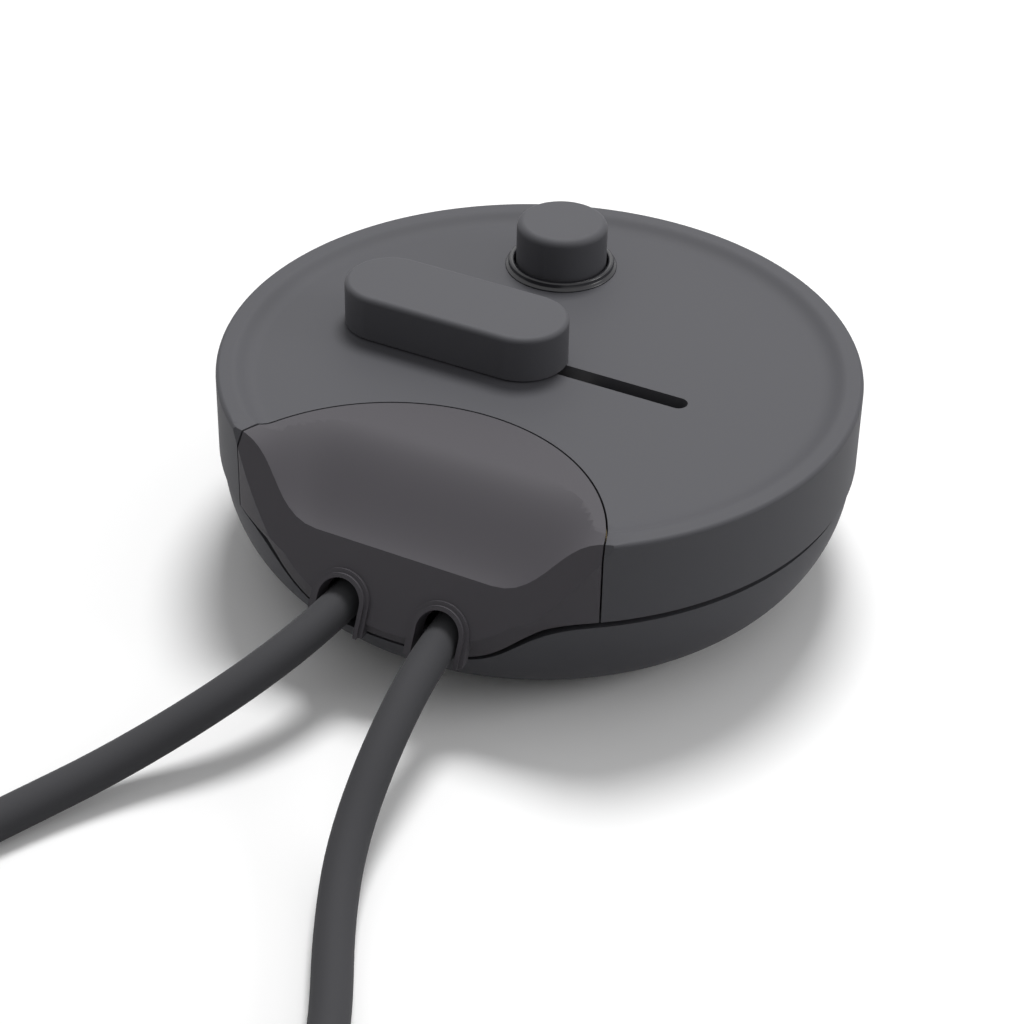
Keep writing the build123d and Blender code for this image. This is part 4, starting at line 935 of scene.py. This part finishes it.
class DIMMER_OT_slider(bpy.types.Operator):
    """Long slider knob with its stem in the slot"""

    bl_idname = "dimmer.slider"
    bl_label = "Slider"

    def execute(self, context):
        d, k = drum(), controls()
        dish = d.rim_height - d.dish_depth
        low, high = dish + k.knob_lift, dish + k.knob_height
        knob = stadium("slider_cap", k.knob_length / 2, k.knob_width, low, high, k.rest_x, 40)
        bm = bmesh.new()
        bm.from_mesh(knob.data)
        rim = [e for e in bm.edges if all(abs(v.co.z - high) < 1e-6 for v in e.verts)]
        bmesh.ops.bevel(
            bm, geom=rim, offset=k.knob_rounding, segments=6, profile=0.5, affect="EDGES", material=-1
        )
        bm.to_mesh(knob.data)
        bm.free()
        half, width = k.knob_length / 2 - k.knob_wall, k.knob_width - 2 * k.knob_wall
        inner = stadium("inner", half, width, 0, high - k.knob_wall, k.rest_x)
        combine(knob, inner, "DIFFERENCE")
        stem_top = high - k.knob_wall / 2
        stem = stadium("stem", k.stem_length / 2, k.stem_width, k.stem_bottom, stem_top, k.rest_x)
        combine(knob, stem, "UNION")
        soften(knob, 0.12 * MM, 1)
        place(knob, SLIDER, "control_black", "slider_knob")
        return {"FINISHED"}


class DIMMER_OT_button(bpy.types.Operator):
    """Round press button and the glossy collar round it"""

    bl_idname = "dimmer.button"
    bl_label = "Button"

    def execute(self, context):
        d, k = drum(), controls()
        dish = d.rim_height - d.dish_depth
        centre = (k.button_x, k.button_y, 0)
        r, top, rounding = k.button_radius, k.button_top, k.button_rounding
        edge = arc((r - rounding, top - rounding), rounding, 90, 0, 10)
        inner, cap = r - 1.6 * MM, top - 2.2 * MM
        flange, flange_foot, flange_radius = 30.7 * MM, 29.2 * MM, r + MM
        stem_radius, stem_foot = 2.5 * MM, 26.2 * MM
        outline = [
            (0, top),
            (r * 0.5, top),
            *edge,
            (r, flange),
            (flange_radius, flange),
            (flange_radius, flange_foot),
            (inner, flange_foot),
            (inner, cap),
            (stem_radius, cap),
            (stem_radius, stem_foot),
            (0, stem_foot),
        ]
        button = spun("press_button", outline, 128, centre)
        soften(button, 0.1 * MM, 1)
        place(button, BUTTON, "control_black", "push_button")

        peak = dish + k.collar_height
        neck_foot, neck_radius = dish - 2.8 * MM, k.collar_bore + 0.85 * MM
        collar = [
            (k.collar_bore, neck_foot),
            (neck_radius, neck_foot),
            (neck_radius, dish),
            (k.collar_base, dish),
            (k.collar_base, dish + 0.18 * MM),
            (k.collar_base - 0.12 * MM, dish + 0.3 * MM),
            (k.collar_top + 0.12 * MM, dish + 0.42 * MM),
            (k.collar_top, dish + 0.6 * MM),
            (k.collar_top, peak - 0.3 * MM),
            (k.collar_top - 0.09 * MM, peak - 0.09 * MM),
            (k.collar_top - 0.3 * MM, peak),
            (k.collar_bore + 0.2 * MM, peak),
            (k.collar_bore, peak - 0.2 * MM),
        ]
        ring = spun("button_collar", collar, 128, centre, closed=True)
        soften(ring, 0)
        place(ring, HOUSING, "collar_gloss", "button_bezel")
        return {"FINISHED"}


def curve_piece(name, points, radius):
    """A round lead along a smooth line through its control points."""
    data = bpy.data.curves.new(name, "CURVE")
    data.dimensions = "3D"
    data.resolution_u = 6
    data.bevel_depth = radius
    data.bevel_resolution = 6
    data.use_fill_caps = True
    line = data.splines.new("NURBS")
    line.points.add(len(points) - 1)
    for point, where in zip(line.points, points):
        point.co = (*where, 1)
    line.order_u = 3
    line.use_endpoint_u = True
    piece = bpy.data.objects.new(name, data)
    bpy.context.scene.collection.objects.link(piece)
    return piece


def coil_points(slots, heading, turn):
    """Control points of a coil's turns, from where its outer turn runs along the heading.

    Each slot is a turn's radius and height, and turn is 1 clockwise or -1 the other way.
    In the last quarter of a turn the lead moves over to the next slot."""
    size = leads()
    level_share = 0.75
    count = size.points_per_turn
    swell = 2 / (1 + cos(2 * pi / count))
    start = atan2(turn * heading[0], -turn * heading[1])
    points = []
    for place, (radius, height) in enumerate(slots):
        following = slots[min(place + 1, len(slots) - 1)]
        for step in range(1, count + 1):
            share = smooth(max(step / count - level_share, 0) / (1 - level_share))
            r = (radius + (following[0] - radius) * share) * swell
            angle = start - turn * 2 * pi * step / count
            x, y = size.coil_x + r * cos(angle), size.coil_y + r * sin(angle)
            points.append((x, y, height + (following[1] - height) * share))
    return points


def in_metres(points):
    """Points in millimetres, in metres."""
    return [tuple(value * MM for value in point) for point in points]


def from_coil_centre(points):
    """Points in millimetres from the middle of the coils, in metres in the frame."""
    middle = Vector((leads().coil_x, leads().coil_y, 0))
    return [tuple(Vector(point) * MM + middle) for point in points]


class DIMMER_OT_mains_lead(bpy.types.Operator):
    """Mains lead with its put-away coil, ending in the plug"""

    bl_idname = "dimmer.mains_lead"
    bl_label = "Mains lead"

    def execute(self, context):
        size = leads()
        heading = (0.26, -0.966)
        route = in_metres([
            (-8.5, -36.5, 15.0),
            (-8.5, -51.0, 15.0),
            (-14.2, -68.3, 11.2),
            (-25.0, -84.8, 4.8),
            (-33.6, -100.5, 3.0),
            (-42.0, -120.5, 3.0),
            (-43.3, -141.0, 3.0),
            (-38.2, -160.8, 3.0),
            (-30.5, -179.9, 3.0),
            (-25.3, -199.15, 3.0),
        ])
        tail = in_metres([(-21.66, -212.68, 8.9), (-18.02, -226.2, 8.9)])
        floor, second, third = 3.0 * MM, 8.9 * MM, 13.6 * MM
        outer, middle, inner = 35.2 * MM, 29.4 * MM, 23.6 * MM
        slots = [
            (outer, floor),
            (middle, floor),
            (inner, floor),
            (inner, second),
            (middle, second),
            ((outer + middle) / 2, third),
            (outer, second),
        ]
        points = route + coil_points(slots, heading, -1) + tail
        lead = curve_piece("mains_cable", points, size.diameter / 2)
        place(lead, HOUSING, "lead_black", "mains_lead", "mains_lead_coil", "mains_lead_tail")
        return {"FINISHED"}


class DIMMER_OT_lamp_lead(bpy.types.Operator):
    """Lamp lead, put away on top of the mains coil and ending in bared cores"""

    bl_idname = "dimmer.lamp_lead"
    bl_label = "Lamp lead"

    def execute(self, context):
        size = leads()
        level, tail_level = 19.05, 23.55
        heading = (0.0, -1.0)
        route = in_metres([
            (8.5, -36.5, 15.0),
            (8.5, -51.0, 15.0),
            (10.2, -68.5, 11.4),
            (12.8, -84.0, 5.6),
            (18.5, -97.6, 3.0),
            (27.0, -112.5, 3.0),
            (35.0, -131.0, 4.5),
            (41.0, -150.5, 11.5),
            (43.9, -170.5, 18.9),
            (43.9, -190.0, level),
        ])
        tail = from_coil_centre([
            (23.0, -17.6, level + 2.4),
            (11.8, -24.0, level + 3.9),
            (-2.0, -24.0, tail_level),
        ])
        slots = [(35.2 * MM, level * MM), (29.4 * MM, level * MM)]
        points = route + coil_points(slots, heading, 1) + tail
        lead = curve_piece("lamp_cable", points, size.diameter / 2)
        place(lead, HOUSING, "lead_black", "lamp_lead", "lamp_lead_coil", "lamp_lead_tail")
        return {"FINISHED"}


class DIMMER_PT_panel(bpy.types.Panel):
    """Foot dimmer"""

    bl_idname = "DIMMER_PT_panel"
    bl_label = "Foot dimmer"
    bl_space_type = "VIEW_3D"
    bl_region_type = "UI"
    bl_category = "Dimmer"

    def draw(self, context):
        for operator in OPERATORS:
            self.layout.operator(operator.bl_idname)


GROUPS = {
    "dimmer_drum": DrumSizes,
    "dimmer_cover": CoverSizes,
    "dimmer_fixings": FixingSizes,
    "dimmer_controls": ControlSizes,
    "dimmer_leads": LeadSizes,
    "dimmer_finishes": Finishes,
}
OPERATORS = (
    DIMMER_OT_finishes,
    DIMMER_OT_stage,
    DIMMER_OT_mains_lead,
    DIMMER_OT_lamp_lead,
    DIMMER_OT_drum,
    DIMMER_OT_lower_shell,
    DIMMER_OT_slider,
    DIMMER_OT_button,
)


def register():
    for kind in (*GROUPS.values(), *OPERATORS, DIMMER_PT_panel):
        bpy.utils.register_class(kind)
    for name, group in GROUPS.items():
        setattr(bpy.types.Scene, name, PointerProperty(type=group))


def unregister():
    for name in GROUPS:
        delattr(bpy.types.Scene, name)
    for kind in reversed((*GROUPS.values(), *OPERATORS, DIMMER_PT_panel)):
        bpy.utils.unregister_class(kind)


def main():
    """Builds every piece in order."""
    register()
    for operator in OPERATORS:
        group, name = operator.bl_idname.split(".")
        getattr(getattr(bpy.ops, group), name)()


if __name__ == "__main__":
    main()
